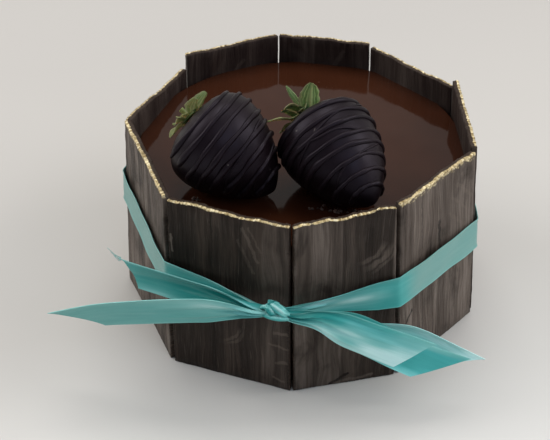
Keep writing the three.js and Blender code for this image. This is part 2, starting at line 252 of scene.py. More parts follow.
# %% [markdown]
# ## A kit for materials
# Each material is a small graph of nodes. These helpers add a node, set its inputs by value or by
# a link, and mix colours along a ramp, so that a material reads from top to bottom.

# %% Material helpers
class Graph:
    """A new material with its node tree and its main shader."""

    def __init__(self, name):
        self.material = bpy.data.materials.new(name)
        self.material.use_nodes = True
        self.tree = self.material.node_tree
        self.shader = self.tree.nodes["Principled BSDF"]

    def add(self, kind, inputs=None, **settings):
        node = self.tree.nodes.new("ShaderNode" + kind)
        for name, value in settings.items():
            setattr(node, name, value)
        for key, value in (inputs or {}).items():
            self.put(node.inputs[key], value)
        return node

    def put(self, socket, value):
        if isinstance(value, bpy.types.NodeSocket):
            self.tree.links.new(value, socket)
        else:
            socket.default_value = value

    def set(self, **values):
        for name, value in values.items():
            self.put(self.shader.inputs[name.replace("_", " ")], value)

    def math(self, operation, a, b=0.0, clamp=False):
        return self.add("Math", {0: a, 1: b}, operation=operation, use_clamp=clamp).outputs[0]

    def stretch(self, vector, scale, location=(0, 0, 0)):
        return self.add("Mapping", {"Vector": vector, "Scale": scale, "Location": location}).outputs[0]

    def noise(self, vector, scale, detail=3.0, roughness=0.5, distortion=0.0):
        inputs = {"Vector": vector, "Scale": scale, "Detail": detail, "Roughness": roughness,
                  "Distortion": distortion}
        return self.add("TexNoise", inputs).outputs["Fac"]

    def ramp(self, value, *stops):
        node = self.add("ValToRGB", {"Fac": value})
        elements = node.color_ramp.elements
        while len(elements) < len(stops):
            elements.new(0.5)
        for element, (position, colour) in zip(elements, stops):
            element.position = position
            element.color = (*colour, 1) if hasattr(colour, "__len__") else (colour, colour, colour, 1)
        return node.outputs["Color"]

    def mix(self, share, a, b, blend="MIX"):
        node = self.add("Mix", data_type="RGBA", blend_type=blend)
        self.put(node.inputs[0], share)
        for socket, value in ((node.inputs[6], a), (node.inputs[7], b)):
            self.put(socket, (*value, 1) if isinstance(value, tuple) and len(value) == 3 else value)
        return node.outputs[2]

    def vector(self, operation, a, b=(0, 0, 0), output="Vector"):
        return self.add("VectorMath", {0: a, 1: b}, operation=operation).outputs[output]

    def near(self, distance, width):
        """1 within a width, fading to 0 at twice that."""
        share = self.math("DIVIDE", self.math("SUBTRACT", 2 * width, distance), width)
        return self.math("MULTIPLY", share, 1.0, clamp=True)

    def stroke(self, where, start, end, width):
        """1 on a straight stroke from start to end, and 0 away from it."""
        run = Vector((end[0] - start[0], end[1] - start[1], 0))
        offset = self.vector("SUBTRACT", where, (*start, 0))
        step = tuple(run / run.length_squared)
        share = self.math("MULTIPLY", self.vector("DOT_PRODUCT", offset, step, "Value"), 1.0, clamp=True)
        foot = self.add("VectorMath", {0: tuple(run), "Scale": share}, operation="SCALE").outputs[0]
        return self.near(self.vector("LENGTH", self.vector("SUBTRACT", offset, foot), output="Value"), width)

    def arc(self, where, centre, radius, width, middle, reach):
        """1 on part of a circle: within reach of a middle point on it."""
        out = self.vector("DISTANCE", where, (*centre, 0), "Value")
        ring = self.near(self.math("ABSOLUTE", self.math("SUBTRACT", out, radius)), width)
        close_by = self.near(self.vector("DISTANCE", where, (*middle, 0), "Value"), reach / 2)
        return self.math("MULTIPLY", ring, close_by)

    def bump(self, height, distance, strength):
        return self.add("Bump", {"Height": height, "Distance": distance, "Strength": strength}).outputs[0]


# %% [markdown]
# ### Floor finish
# A plain pale tabletop, a little warm at the back, with painted shade: darker towards the back,
# lighter towards the front and a little to the right.

# %% Floor finish
def floor_finish():
    graph = Graph("pale_tabletop")
    where = graph.add("TexCoord").outputs["Object"]
    parts = graph.add("SeparateXYZ", {0: where})
    # Painted shade: the tabletop's colour darkens towards the back and lightens towards the front-right.
    towards = graph.math("SUBTRACT", graph.math("MULTIPLY", parts.outputs["X"], 0.3), parts.outputs["Y"])
    distance = graph.add("MapRange", {"Value": towards, "From Min": -0.25, "From Max": 0.28}).outputs[0]
    tone = graph.ramp(distance, (0.0, (0.53, 0.515, 0.495)), (0.5, (0.58, 0.565, 0.54)), (1.0, (0.83, 0.84, 0.83)))
    graph.set(Base_Color=tone, Roughness=0.6, Specular_IOR_Level=0.3)
    return graph.material


floor.data.materials.append(floor_finish())

# %% [markdown]
# ### Chocolate panels
# The panels are tempered chocolate spread on film, and the spreading leaves upright bands and
# streaks of darker and paler brown, feathery strokes of the palette knife, and thin scratches. The
# material reads the panel's own UV map, in centimetres across and up, so that the streaks stand
# upright on every panel. Stored numbers give the tone of each band, which also carries painted
# light: panels 2 and 8, at the sides, are paler and panel 9, at the front, darker. Others give how
# far each point lies below the rim, from an end, and from the outer face: gold leaf covers a thin
# line along the outer edge of the rim, and the snapped ends show rougher, browner chocolate.

# %% Marks on the panels
MARKS = [
    # panel, kind, where in centimetres from its middle and up, width, and how pale (1) or dark (-1)
    (9, "stroke", (0.75, 9.0), (1.45, 7.3), 0.05, 0.35), (9, "stroke", (1.0, 9.1), (1.6, 7.9), 0.03, 0.25),
    (9, "stroke", (0.5, 8.3), (1.2, 6.7), 0.05, 0.22), (9, "stroke", (-2.75, 7.7), (-2.74, 6.8), 0.035, 0.8),
    (9, "stroke", (-0.78, 9.6), (-0.76, 0.2), 0.03, -0.7), (9, "stroke", (0.62, 9.6), (0.60, 0.0), 0.03, -0.6),
    (9, "stroke", (2.2, 3.4), (2.8, 3.5), 0.05, 0.4), (9, "stroke", (2.0, 2.7), (2.9, 2.6), 0.04, 0.35),
    (9, "stroke", (2.3, 1.6), (2.8, 1.7), 0.05, 0.35), (9, "stroke", (2.2, 0.6), (2.7, 0.5), 0.05, 0.4),
    (9, "arc", (-0.6, 3.3), 1.15, 0.05, (0.3, 2.5), 0.8, 0.3),
    (9, "arc", (-0.6, 3.3), 1.35, 0.04, (0.4, 2.4), 0.8, 0.25),
    (1, "arc", (0.5, 8.2), 1.65, 0.10, (1.6, 7.0), 1.0, 0.45),
    (1, "arc", (0.5, 8.2), 1.25, 0.07, (1.3, 7.2), 0.9, 0.35),
    (1, "arc", (0.3, 8.4), 2.25, 0.06, (1.9, 6.8), 1.0, 0.30), (1, "stroke", (-0.75, 0.1), (0.05, 0.55), 0.05, -1.0),
    (1, "stroke", (-0.4, 0.15), (1.3, 0.25), 0.05, 0.5), (1, "stroke", (0.4, 5.5), (1.6, 4.3), 0.06, 0.20),
    (2, "stroke", (0.10, 7.2), (0.22, 5.4), 0.06, -0.9), (2, "stroke", (1.4, 8.6), (2.6, 7.4), 0.06, 0.35),
    (2, "stroke", (1.1, 8.0), (2.4, 6.7), 0.05, 0.30), (2, "stroke", (0.9, 7.2), (2.1, 5.9), 0.05, 0.25),
    (2, "stroke", (-1.9, 3.2), (-2.8, 2.2), 0.05, -0.9), (2, "stroke", (-2.2, 4.3), (-2.1, 4.1), 0.06, -0.9),
    (2, "stroke", (1.7, 4.2), (1.8, 4.0), 0.05, -0.9), (2, "stroke", (-1.2, 9.4), (-1.0, 0.3), 0.03, -0.5),
    (8, "stroke", (-0.8, 9.2), (-0.7, 0.3), 0.03, -0.5), (8, "stroke", (0.9, 9.2), (0.95, 0.3), 0.04, -0.4),
    (5, "stroke", (-1.0, 9.0), (0.6, 6.0), 0.07, 0.30), (6, "stroke", (-0.6, 8.6), (1.2, 6.4), 0.06, 0.30),
]
UV_STEP = 7.0  # centimetres between the UV places of two neighbouring panels


# %% Panel finish
def panel_finish():
    graph = Graph("streaked_chocolate")
    face = graph.add("UVMap", uv_map="face").outputs[0]
    tone, depth, end, through = (
        graph.add("Attribute", attribute_name=name).outputs["Fac"]
        for name in ("tone", "rim_depth", "end_depth", "through"))

    sway = graph.noise(graph.stretch(face, (0.5, 0.22, 1)), 1.0, 2.0)
    swayed = graph.vector("ADD", face, graph.add("CombineXYZ", {"X": graph.math("MULTIPLY", sway, 0.8)}).outputs[0])
    broad = graph.noise(graph.stretch(swayed, (1.1, 0.08, 1)), 1.0, 3.0, 0.6)
    streak = graph.noise(graph.stretch(swayed, (5.0, 0.18, 1)), 1.0, 5.0, 0.65, 0.3)
    hair = graph.noise(graph.stretch(swayed, (20.0, 0.4, 1)), 1.0, 3.0, 0.7)
    patch = graph.noise(graph.stretch(face, (0.5, 0.3, 1)), 1.0, 4.0, 0.6, 0.6)
    grit = graph.noise(face, 7.0, 4.0, 0.65)

    mixed = graph.math("ADD", graph.math("MULTIPLY", broad, 0.55), graph.math("MULTIPLY", streak, 0.45))
    base = graph.ramp(mixed, (0.34, (0.0060, 0.0034, 0.0025)), (0.50, (0.0150, 0.0095, 0.0070)),
                      (0.62, (0.042, 0.028, 0.021)))
    pale = graph.ramp(mixed, (0.33, (0.036, 0.025, 0.020)), (0.47, (0.104, 0.081, 0.067)),
                      (0.62, (0.215, 0.178, 0.152)))
    # The tone is partly painted light: whole panels are paler or darker as light falls on them.
    share = graph.math("MULTIPLY", tone, graph.ramp(patch, (0.34, 0.20), (0.48, 0.85), (0.62, 1.0)))
    colour = graph.mix(share, base, pale)
    scratches = graph.ramp(hair, (0.60, 0.0), (0.70, 1.0))
    colour = graph.mix(graph.math("MULTIPLY", scratches, 0.40), colour, (0.15, 0.120, 0.100))
    furrows = graph.ramp(hair, (0.30, 1.0), (0.39, 0.0))
    colour = graph.mix(graph.math("MULTIPLY", furrows, 0.65), colour, (0.006, 0.0035, 0.0025))

    wander = graph.add("TexNoise", {"Vector": face, "Scale": 2.2, "Detail": 4.0}).outputs["Color"]
    fray = graph.vector("SUBTRACT", wander, (0.5, 0.5, 0.5))
    frayed = graph.vector("ADD", face, graph.vector("MULTIPLY", fray, (0.35, 0.35, 0.0)))
    for number, kind, *shape, strength in MARKS:
        at = UV_STEP * number
        if kind == "stroke":
            (x0, z0), (x1, z1), width = shape
            mark = graph.stroke(frayed, (x0 + at, z0), (x1 + at, z1), width)
        else:
            (cx, cz), radius, width, (mx, mz), reach = shape
            mark = graph.arc(frayed, (cx + at, cz), radius, width, (mx + at, mz), reach)
        patchy = graph.math("MULTIPLY", graph.ramp(streak, (0.3, 0.5), (0.6, 1.0)), abs(strength))
        mark = graph.math("MULTIPLY", mark, patchy)
        colour = graph.mix(mark, colour, (0.17, 0.135, 0.112) if strength > 0 else (0.004, 0.0022, 0.0015))

    snapped = graph.math("SUBTRACT", graph.math("MULTIPLY", grit, 3.4), graph.math("ADD", end, 0.9))
    snapped = graph.math("MULTIPLY", snapped, 1.6, clamp=True)
    rubble = graph.ramp(graph.noise(face, 13.0, 4.0, 0.7), (0.38, (0.006, 0.0035, 0.0025)),
                        (0.50, (0.040, 0.026, 0.019)), (0.64, (0.120, 0.085, 0.062)))
    colour = graph.mix(graph.math("MULTIPLY", snapped, 0.85), colour, rubble)
    inside = graph.math("SUBTRACT", graph.math("MULTIPLY", through, 2.0), 4.6, clamp=True)
    colour = graph.mix(graph.math("MULTIPLY", inside, 0.45), colour, (0.016, 0.008, 0.010))
    on_rim = graph.math("SUBTRACT", 1.0, graph.math("MULTIPLY", depth, 2.5), clamp=True)
    colour = graph.mix(graph.math("MULTIPLY", on_rim, 0.8), colour, (0.030, 0.018, 0.012))

    ragged = graph.math("MULTIPLY", graph.math("SUBTRACT", graph.noise(face, 5.0, 4.0, 0.65), 0.5), 2.2)
    inner = graph.math("SUBTRACT", graph.math("ADD", 1.35, ragged), through)
    lower = graph.math("SUBTRACT", graph.math("ADD", 0.50, ragged), depth)
    gilt = graph.math("MULTIPLY", graph.math("MINIMUM", inner, lower), 3.0, clamp=True)
    wear = graph.ramp(graph.noise(face, 11.0, 3.0, 0.7), (0.30, 0.35), (0.40, 1.0))
    gilt = graph.math("MULTIPLY", gilt, wear)
    gold = graph.ramp(graph.noise(face, 8.0, 3.0), (0.34, (0.26, 0.19, 0.085)), (0.50, (0.58, 0.47, 0.26)),
                      (0.64, (0.90, 0.80, 0.54)))

    relief = graph.math("ADD", graph.math("MULTIPLY", streak, 0.6), graph.math("MULTIPLY", hair, 0.4))
    relief = graph.math("ADD", relief, graph.math("MULTIPLY", graph.math("MULTIPLY", grit, snapped), 1.5))
    rough = graph.ramp(streak, (0.3, 0.58), (0.7, 0.38))
    graph.set(
        Base_Color=graph.mix(gilt, colour, gold),
        Metallic=graph.math("MULTIPLY", gilt, 0.50),
        Roughness=graph.mix(gilt, rough, (0.36, 0.36, 0.36)),
        Normal=graph.bump(relief, 0.0007, 0.9),
    )
    graph.set(Specular_IOR_Level=0.18, Specular_Tint=(1.0, 0.92, 0.86, 1))
    return graph.material


streaked_chocolate = panel_finish()

# %% [markdown]
# ### Poured glaze
# The glaze sets like a mirror. Its own colour is a deep red-brown, and what the eye takes for
# grey-brown is the reflected wall. So the base colour stays dark, the surface is almost smooth
# and nothing is laid over it, because a clear coat would double the reflection.

# %% Glaze finish
def glaze_finish():
    graph = Graph("mirror_glaze")
    where = graph.add("TexCoord").outputs["Object"]
    tone = graph.noise(where, 22.0, 3.0)
    colour = graph.ramp(tone, (0.3, (0.030, 0.0090, 0.0040)), (0.7, (0.044, 0.0140, 0.0065)))
    specks = graph.ramp(graph.noise(where, 420.0, 2.0), (0.74, 0.0), (0.80, 1.0))
    colour = graph.mix(graph.math("MULTIPLY", specks, 0.3), colour, (0.10, 0.06, 0.045))
    ripple = graph.noise(where, 26.0, 2.0)
    graph.set(
        Base_Color=colour,
        Roughness=graph.ramp(graph.noise(where, 55.0, 3.0), (0.35, 0.06), (0.7, 0.11)),
        IOR=1.38,
        Normal=graph.bump(ripple, 0.0004, 0.5),
    )
    return graph.material


mirror_glaze = glaze_finish()

# %% [markdown]
# ### Dipping chocolate
# The coat on the strawberries is thinner and duller than the glaze: a satin dark brown, almost
# black, that looks blue-grey where it faces the cool front. Low down, where it mirrors nothing but
# dark glaze, painted shade makes it darkest, and small pale specks are painted glints. The drizzled
# strings are the same chocolate, so they share the material.

# %% Coat finish
COAT_PAINTED_SHADE_BELOW, COAT_UNSHADED_ABOVE = 0.086, 0.108  # metres above the underside of the cake


def coat_finish():
    graph = Graph("dipping_chocolate")
    where = graph.add("TexCoord").outputs["Object"]
    tone = graph.noise(where, 60.0, 4.0, 0.6)
    colour = graph.ramp(tone, (0.32, (0.0036, 0.0016, 0.0024)), (0.70, (0.0085, 0.0044, 0.0060)))
    # Painted shade: the coat darkens towards the bottom of the berry, where it gets little light.
    height = graph.add("SeparateXYZ", {0: where}).outputs["Z"]
    low = graph.add("MapRange", {"Value": height, "From Min": COAT_UNSHADED_ABOVE,
                                 "From Max": COAT_PAINTED_SHADE_BELOW}).outputs[0]
    colour = graph.mix(low, colour, (0.0012, 0.0006, 0.0008))
    # Painted glints: small pale specks on the satin coat.
    specks = graph.ramp(graph.noise(where, 260.0, 2.0), (0.745, 0.0), (0.775, 1.0))
    colour = graph.mix(graph.math("MULTIPLY", specks, 0.55), colour, (0.16, 0.14, 0.13))
    fine = graph.noise(where, 900.0, 3.0)
    coarse = graph.noise(where, 120.0, 3.0)
    grain = graph.math("ADD", graph.math("MULTIPLY", fine, 0.15), coarse)
    graph.set(
        Base_Color=colour,
        Roughness=graph.ramp(coarse, (0.3, 0.36), (0.7, 0.50)),
        Specular_IOR_Level=0.21,
        Specular_Tint=(0.86, 0.78, 1.0, 1),
        Normal=graph.bump(grain, 0.0003, 0.6),
    )
    return graph.material


dipping_chocolate = coat_finish()

# %% [markdown]
# ### Leaves
# Sepals are matt, darker between their veins, with a pale midrib and thin dry edges. The UV map
# runs along the leaf and across it.

# %% Leaf finish
def leaf_finish():
    graph = Graph("strawberry_sepal")
    blade = graph.add("UVMap", uv_map="blade").outputs[0]
    age_and_shade = graph.add("Attribute", attribute_name="age_and_shade").outputs["Fac"]
    parts = graph.add("SeparateXYZ", {0: blade})
    across = graph.math("ABSOLUTE", parts.outputs["Y"])
    side_veins = graph.add("TexWave", {"Vector": graph.stretch(blade, (1, 0.55, 1)), "Scale": 1.6,
                                       "Distortion": 1.2}, wave_type="BANDS").outputs["Fac"]
    long_veins = graph.noise(graph.stretch(blade, (0.25, 9.0, 1)), 1.0, 3.0)
    mottle = graph.noise(blade, 4.0, 4.0)
    fresh = graph.ramp(long_veins, (0.38, (0.010, 0.050, 0.010)), (0.50, (0.036, 0.125, 0.024)),
                       (0.62, (0.170, 0.310, 0.110)))
    dry = graph.ramp(mottle, (0.35, (0.055, 0.080, 0.010)), (0.65, (0.180, 0.200, 0.045)))
    colour = graph.mix(graph.math("MULTIPLY", age_and_shade, 1.0, clamp=True), fresh, dry)
    # Painted shade: below 0 the stored number darkens the curled sepals, which lie in shade.
    painted_shade = graph.math("MULTIPLY", age_and_shade, -1.0, clamp=True)
    colour = graph.mix(painted_shade, colour, (0.005, 0.014, 0.005))
    colour = graph.mix(graph.math("MULTIPLY", side_veins, 0.04), colour, (0.16, 0.24, 0.07))
    rib = graph.ramp(across, (0.02, 1.0), (0.09, 0.0))
    colour = graph.mix(graph.math("MULTIPLY", rib, 0.5), colour, (0.24, 0.34, 0.12))
    rim = graph.ramp(across, (0.40, 0.0), (0.49, 1.0))
    colour = graph.mix(graph.math("MULTIPLY", rim, 0.40), colour, (0.34, 0.34, 0.14))
    graph.set(
        Base_Color=colour,
        Roughness=0.55,
        Subsurface_Weight=0.1,
        Normal=graph.bump(graph.math("ADD", long_veins, graph.math("MULTIPLY", side_veins, 0.3)), 0.0002, 0.6),
    )
    return graph.material


strawberry_sepal = leaf_finish()

# %% [markdown]
# ### Satin
# Satin threads float along the ribbon, so light stretches into streaks across the folds, and the
# colour runs from whitish mint to deep teal within a few millimetres. A stored number, the gleam,
# says where a fold turns to the light, from 0 in the deep to 1 on a highlight, and a ramp turns it
# into colour; a second stored number paints a grey sheen, a painted reflection, on the parts that
# lie at the sides. Both are set one by one and stay where they are under any lamp, which real
# satin would not. The UV map runs along the ribbon and across it in centimetres. Fine ribs along
# the length stand for the weave, and the two woven edges are a little paler.

# %% Satin finish
def satin_finish():
    graph = Graph("teal_satin")
    cloth = graph.add("UVMap", uv_map="cloth").outputs[0]
    gleam = graph.add("Attribute", attribute_name="gleam").outputs["Fac"]
    painted_sheen = graph.add("Attribute", attribute_name="painted_sheen").outputs["Fac"]
    parts = graph.add("SeparateXYZ", {0: cloth})
    across = graph.math("ABSOLUTE", parts.outputs["Y"])
    thread = graph.noise(graph.stretch(cloth, (0.6, 28.0, 1)), 1.0, 2.0)
    streaks = graph.noise(graph.stretch(cloth, (0.5, 5.0, 1)), 1.0, 3.0)
    waver = graph.math("MULTIPLY", graph.math("SUBTRACT", streaks, 0.5), 0.22)
    waver = graph.math("ADD", waver, graph.math("MULTIPLY", graph.math("SUBTRACT", thread, 0.5), 0.09))
    lit = graph.math("ADD", gleam, waver, clamp=True)
    colour = graph.ramp(lit, (0.0, (0.003, 0.105, 0.100)), (0.25, (0.012, 0.270, 0.258)),
                        (0.50, (0.060, 0.410, 0.395)), (0.75, (0.210, 0.580, 0.560)), (1.0, (0.580, 0.900, 0.890)))
    # Painted sheen: a painted reflection greys the parts of the ribbon that lie at the sides.
    colour = graph.mix(painted_sheen, colour, (0.19, 0.32, 0.29))
    selvedge = graph.ramp(across, (0.76, 0.0), (0.80, 1.0))
    colour = graph.mix(graph.math("MULTIPLY", selvedge, 0.30), colour, (0.30, 0.66, 0.62))
    weave = graph.add("TexWave", {"Vector": cloth, "Scale": 12.0, "Distortion": 0.4}, wave_type="BANDS",
                      bands_direction="Y").outputs["Fac"]
    graph.set(
        Base_Color=colour,
        Roughness=0.34,
        Metallic=0.20,
        Anisotropic=0.5,
        Specular_IOR_Level=0.4,
        Sheen_Weight=0.12,
        Sheen_Roughness=0.4,
        Sheen_Tint=(0.80, 1.0, 0.97, 1),
        Normal=graph.bump(graph.math("ADD", graph.math("MULTIPLY", weave, 0.3), thread), 0.00006, 0.5),
    )
    return graph.material


teal_satin = satin_finish()

# %% [markdown]
# ## The glazed cake
# Under its glaze this is one uncut round. It could be turned from a profile, but its side is not
# quite round: each panel presses a flat into it. So a plain cylinder gets rings by inset and a
# round shoulder by bevel, and its radius is scaled at every azimuth to that of the construction's
# solid, which has the flats.
# A slow, faint wave is pressed into the top, because poured glaze never sets perfectly level.

# %% Cake
def make_cake():
    low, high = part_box("cake")
    radius = (high.x - low.x) / 2 + 1 * MM
    height = high.z - low.z
    shoulder = 5 * MM
    bpy.ops.object.select_all(action="DESELECT")
    bpy.ops.mesh.primitive_cylinder_add(vertices=180, radius=radius, depth=height, location=(0, 0, height / 2))
    cake = bpy.context.object
    cake.name = "glazed_cake"
    settle(cake)
    open_where(cake, "FACE", lambda face: face.normal.z > 0.5)
    bpy.ops.mesh.inset(thickness=0.1 * MM)
    for ring in range(11):
        bpy.ops.mesh.inset(thickness=6.5 * MM)
    close()
    rows = places(cake)
    around = np.arctan2(rows[:, 1], rows[:, 0])
    solid = places(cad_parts["cake"])
    wall = solid[(solid[:, 2] < 2 * MM) & (np.hypot(solid[:, 0], solid[:, 1]) > radius / 2)]
    angles = np.arctan2(wall[:, 1], wall[:, 0])
    order = np.argsort(angles)
    reach = np.interp(around, angles[order], np.hypot(wall[:, 0], wall[:, 1])[order], period=2 * math.pi)
    rows[:, :2] *= (reach / radius)[:, None]
    place(cake, rows)
    open_where(cake, "EDGE", lambda edge: all(
        rows[v][2] > height - 0.01 * MM and math.hypot(rows[v][0], rows[v][1]) > reach[v] - 0.01 * MM
        for v in edge.vertices))
    bpy.ops.mesh.bevel(offset=shoulder, segments=8, profile=0.5)
    close()
    level = places(cake)
    on_top = (level[:, 2] > height - 0.2 * MM)
    weigh(cake, "top", on_top * 1.0)
    modify(cake, "DISPLACE", texture=clouds("glaze_wave", 0.03), texture_coords="LOCAL", direction="Z",
           strength=0.5 * MM, mid_level=0.5, vertex_group="top")
    smooth(cake, 40)
    return finish(cake, mirror_glaze, "ganache", "cake")


make_cake()

# %% [markdown]
# ## Chocolate panels
# Nine slabs, three millimetres thick, stand on end round the cake. Each leans and twists a little
# and each rim is broken off unevenly, which the construction already has. A copy of its solid is
# merged into one skin, its edges are bevelled and it is divided finely. Then three noises work on
# it: a wide one for the wavy slab, a stretched one for the upright streaks, and a strong fine one
# on the rim and the ends, where the chocolate snapped and the gold leaf lies in lumps.

# %% A fine copy of a solid
def fine_copy(node, name):
    """One merged skin of quads with the shape of a node."""
    copy = bpy.data.objects.new(name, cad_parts[node].data.copy())
    bpy.context.scene.collection.objects.link(copy)
    open_all(copy)
    bpy.ops.mesh.customdata_custom_splitnormals_clear()
    bpy.ops.mesh.remove_doubles(threshold=0.001 * MM)
    bpy.ops.mesh.tris_convert_to_quads(face_threshold=math.radians(40), shape_threshold=math.radians(170))
    close()
    return copy


# %% Panels
PANEL_TONES_AND_LIGHT = {
    # centimetres from the middle of the panel, and the share of pale chocolate there, which also
    # carries painted light: panels 2 and 8, at the sides, are set paler and panel 9, at the front, darker
    1: [(-2.6, 0.66), (-0.30, 0.62), (-0.24, 0.22), (2.15, 0.10), (2.2, 0.75), (2.6, 0.8)],
    2: [(-3.1, 0.75), (-1.2, 1.0), (0.0, 0.95), (0.15, 0.65), (1.9, 0.95), (3.1, 0.7)],
    3: [(-3.1, 0.5), (0.6, 0.7), (0.7, 0.4), (3.1, 0.6)],
    4: [(-3.0, 0.3), (-0.6, 0.35), (-0.5, 0.6), (3.0, 0.4)],
    5: [(-3.0, 0.3), (0.5, 0.2), (0.6, 0.5), (3.0, 0.3)],
    6: [(-3.0, 0.25), (-1.0, 0.35), (-0.9, 0.15), (3.0, 0.4)],
    7: [(-3.2, 0.4), (0.2, 0.6), (0.3, 0.3), (3.2, 0.4)],
    8: [(-3.2, 0.9), (-0.8, 1.0), (-0.7, 0.75), (0.9, 1.0), (1.0, 0.8), (3.2, 0.9)],
    9: [(-3.1, 0.04), (-0.80, 0.03), (-0.74, 0.10), (0.58, 0.06), (0.64, 0.16), (1.58, 0.12), (1.64, 0.34),
        (3.1, 0.27)],
}

PANEL_THICKNESS = 3 * MM
# less than 1 where the gold leaf reaches further below the rim
GILDING = {2: 0.22, 7: 0.6, 8: 0.35}


def make_panel(number, tones_and_light):
    panel = fine_copy(f"panel_{number}", f"chocolate_panel_{number}")
    low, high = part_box(f"panel_{number}")
    outward = Vector(((low.x + high.x) / 2, (low.y + high.y) / 2, 0)).normalized()
    across = np.array((-outward.y, outward.x, 0))
    rough = places(panel)
    rim = rough[rough[:, 2] > 0.8 * high.z]
    rim_across = rim @ across
    order = np.argsort(rim_across)

    modify(panel, "BEVEL", width=0.3 * MM, segments=1, limit_method="ANGLE", angle_limit=math.radians(60))
    modify(panel, "SUBSURF", subdivision_type="SIMPLE", levels=3, render_levels=3)
    rows = places(panel)
    u = rows @ across
    reach_out = 0.2 * MM * (smoothstep(u, u.max() - 2 * MM, u.max()) - smoothstep(-u, -u.min() - 2 * MM, -u.min()))
    place(panel, rows + reach_out[:, None] * across)
    depth = np.interp(u, rim_across[order], rim[order, 2]) - rows[:, 2]
    ends = np.minimum(u - u.min(), u.max() - u)
    spread = np.column_stack([np.ones(len(u)), u, rows[:, 2], u * rows[:, 2]])
    reach = rows @ np.array(outward)
    middle = spread @ np.linalg.lstsq(spread, reach, rcond=None)[0]
    through = np.clip(PANEL_THICKNESS / 2 - (reach - middle), 0, PANEL_THICKNESS)
    shift = UV_STEP * number
    give_uv(panel, "grain", np.column_stack([u / CM + shift, rows[:, 2] / CM * 0.10]))
    weigh(panel, "broken_edge", np.clip(1 - np.minimum(depth, ends * 1.4) / (2.5 * MM), 0, 1))

    modify(panel, "DISPLACE", texture=clouds("slab_wave", 0.025), texture_coords="LOCAL",
           strength=0.7 * MM, mid_level=0.5)
    modify(panel, "DISPLACE", texture=clouds("upright_streaks", 0.10), texture_coords="UV",
           uv_layer="grain", strength=0.5 * MM, mid_level=0.5)
    modify(panel, "DISPLACE", texture=clouds("broken_edge", 0.0018), texture_coords="LOCAL",
           strength=0.75 * MM, mid_level=0.5, vertex_group="broken_edge")
    give_uv(panel, "face", np.column_stack([u / CM + shift, rows[:, 2] / CM]))
    # Stored tone: the chocolate's own bands, with painted light on whole panels.
    give_value(panel, "tone", np.interp(u / CM, *np.transpose(tones_and_light)))
    give_value(panel, "rim_depth", depth / MM * GILDING.get(number, 1.0))
    give_value(panel, "end_depth", ends / MM)
    give_value(panel, "through", through / MM)
    panel.data.uv_layers.remove(panel.data.uv_layers["grain"])
    smooth(panel, 50)
    return finish(panel, streaked_chocolate, "chocolate_panel", f"panel_{number}")


for panel_number, panel_tones_and_light in PANEL_TONES_AND_LIGHT.items():
    make_panel(panel_number, panel_tones_and_light)

# %% [markdown]
# ## Dipped strawberries
# A berry is widest near its leaves and tapers to a blunt tip. It starts as a small circle at the
# stem, which is extruded ring by ring along the berry and resized each time to the outline, as a
# potter pulls up a bowl. The strings of drizzle are round cords laid on that same outline, sunk
# by a third into the coat, thicker where they end on the right.

# %% The outline of a berry
BERRIES = {
    # heading of the tip and how far it dips, in degrees, and where strings cross it
    "left": {
        "middle": (-34.9, -35.8), "length": 50, "width": 47.5, "heading": -27, "dip": 31, "slant": 0.03,
        "strings": (0.10, 0.20, 0.31, 0.43, 0.54, 0.66, 0.78, 0.89),
    },
    "right": {
        "middle": (15.2, -37.2), "length": 53, "width": 45, "heading": -54, "dip": 20, "slant": -0.03,
        "strings": (0.16, 0.28, 0.37, 0.49, 0.58, 0.69, 0.80, 0.90),
    },
}
BERRY_SHOULDER = 0.30  # where a berry is widest, as a share of its length
BALANCE = 0.4  # the share of its length that lies on the stem side of its middle
SHOULDER_POWER = 2.6  # 2 would round the shoulder like a circle, and more is squarer
TAPER_POWERS = 1.68, 1.47
FULL_TURN = 6.28


def berry_outline(t):
    """Half a berry's width as a share, from 0 at the stem through 1 to 0 at the tip."""
    if t < BERRY_SHOULDER:
        return (1 - ((BERRY_SHOULDER - t) / BERRY_SHOULDER) ** SHOULDER_POWER) ** (1 / SHOULDER_POWER)
    inner, outer = TAPER_POWERS
    return max(1 - ((t - BERRY_SHOULDER) / (1 - BERRY_SHOULDER)) ** inner, 0) ** (1 / outer)


def berry_frame(side):
    """Where a berry lies: its Y runs from stem to tip, and its lowest point is where the node's is."""
    berry = BERRIES[side]
    heading, dip = math.radians(berry["heading"]), math.radians(berry["dip"])
    y = Vector((math.cos(heading) * math.cos(dip), math.sin(heading) * math.cos(dip), -math.sin(dip)))
    z = (Vector((0, 0, 1)) - y * y.z).normalized()
    x = y.cross(z)
    turn = Matrix((x, y, z)).transposed().to_4x4()
    ring = [(math.sin(a), math.cos(a)) for a in np.linspace(0, 2 * math.pi, 90)]
    lowest = min(
        (turn @ Vector((radius * s, (t - BALANCE) * berry["length"] * MM, radius * c))).z
        for t in np.linspace(0, 1, 80)
        for radius in [berry_outline(t) * berry["width"] / 2 * MM]
        for s, c in ring
    )
    middle = Vector((berry["middle"][0] * MM, berry["middle"][1] * MM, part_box(f"strawberry_{side}")[0].z - lowest))
    return Matrix.Translation(middle) @ turn


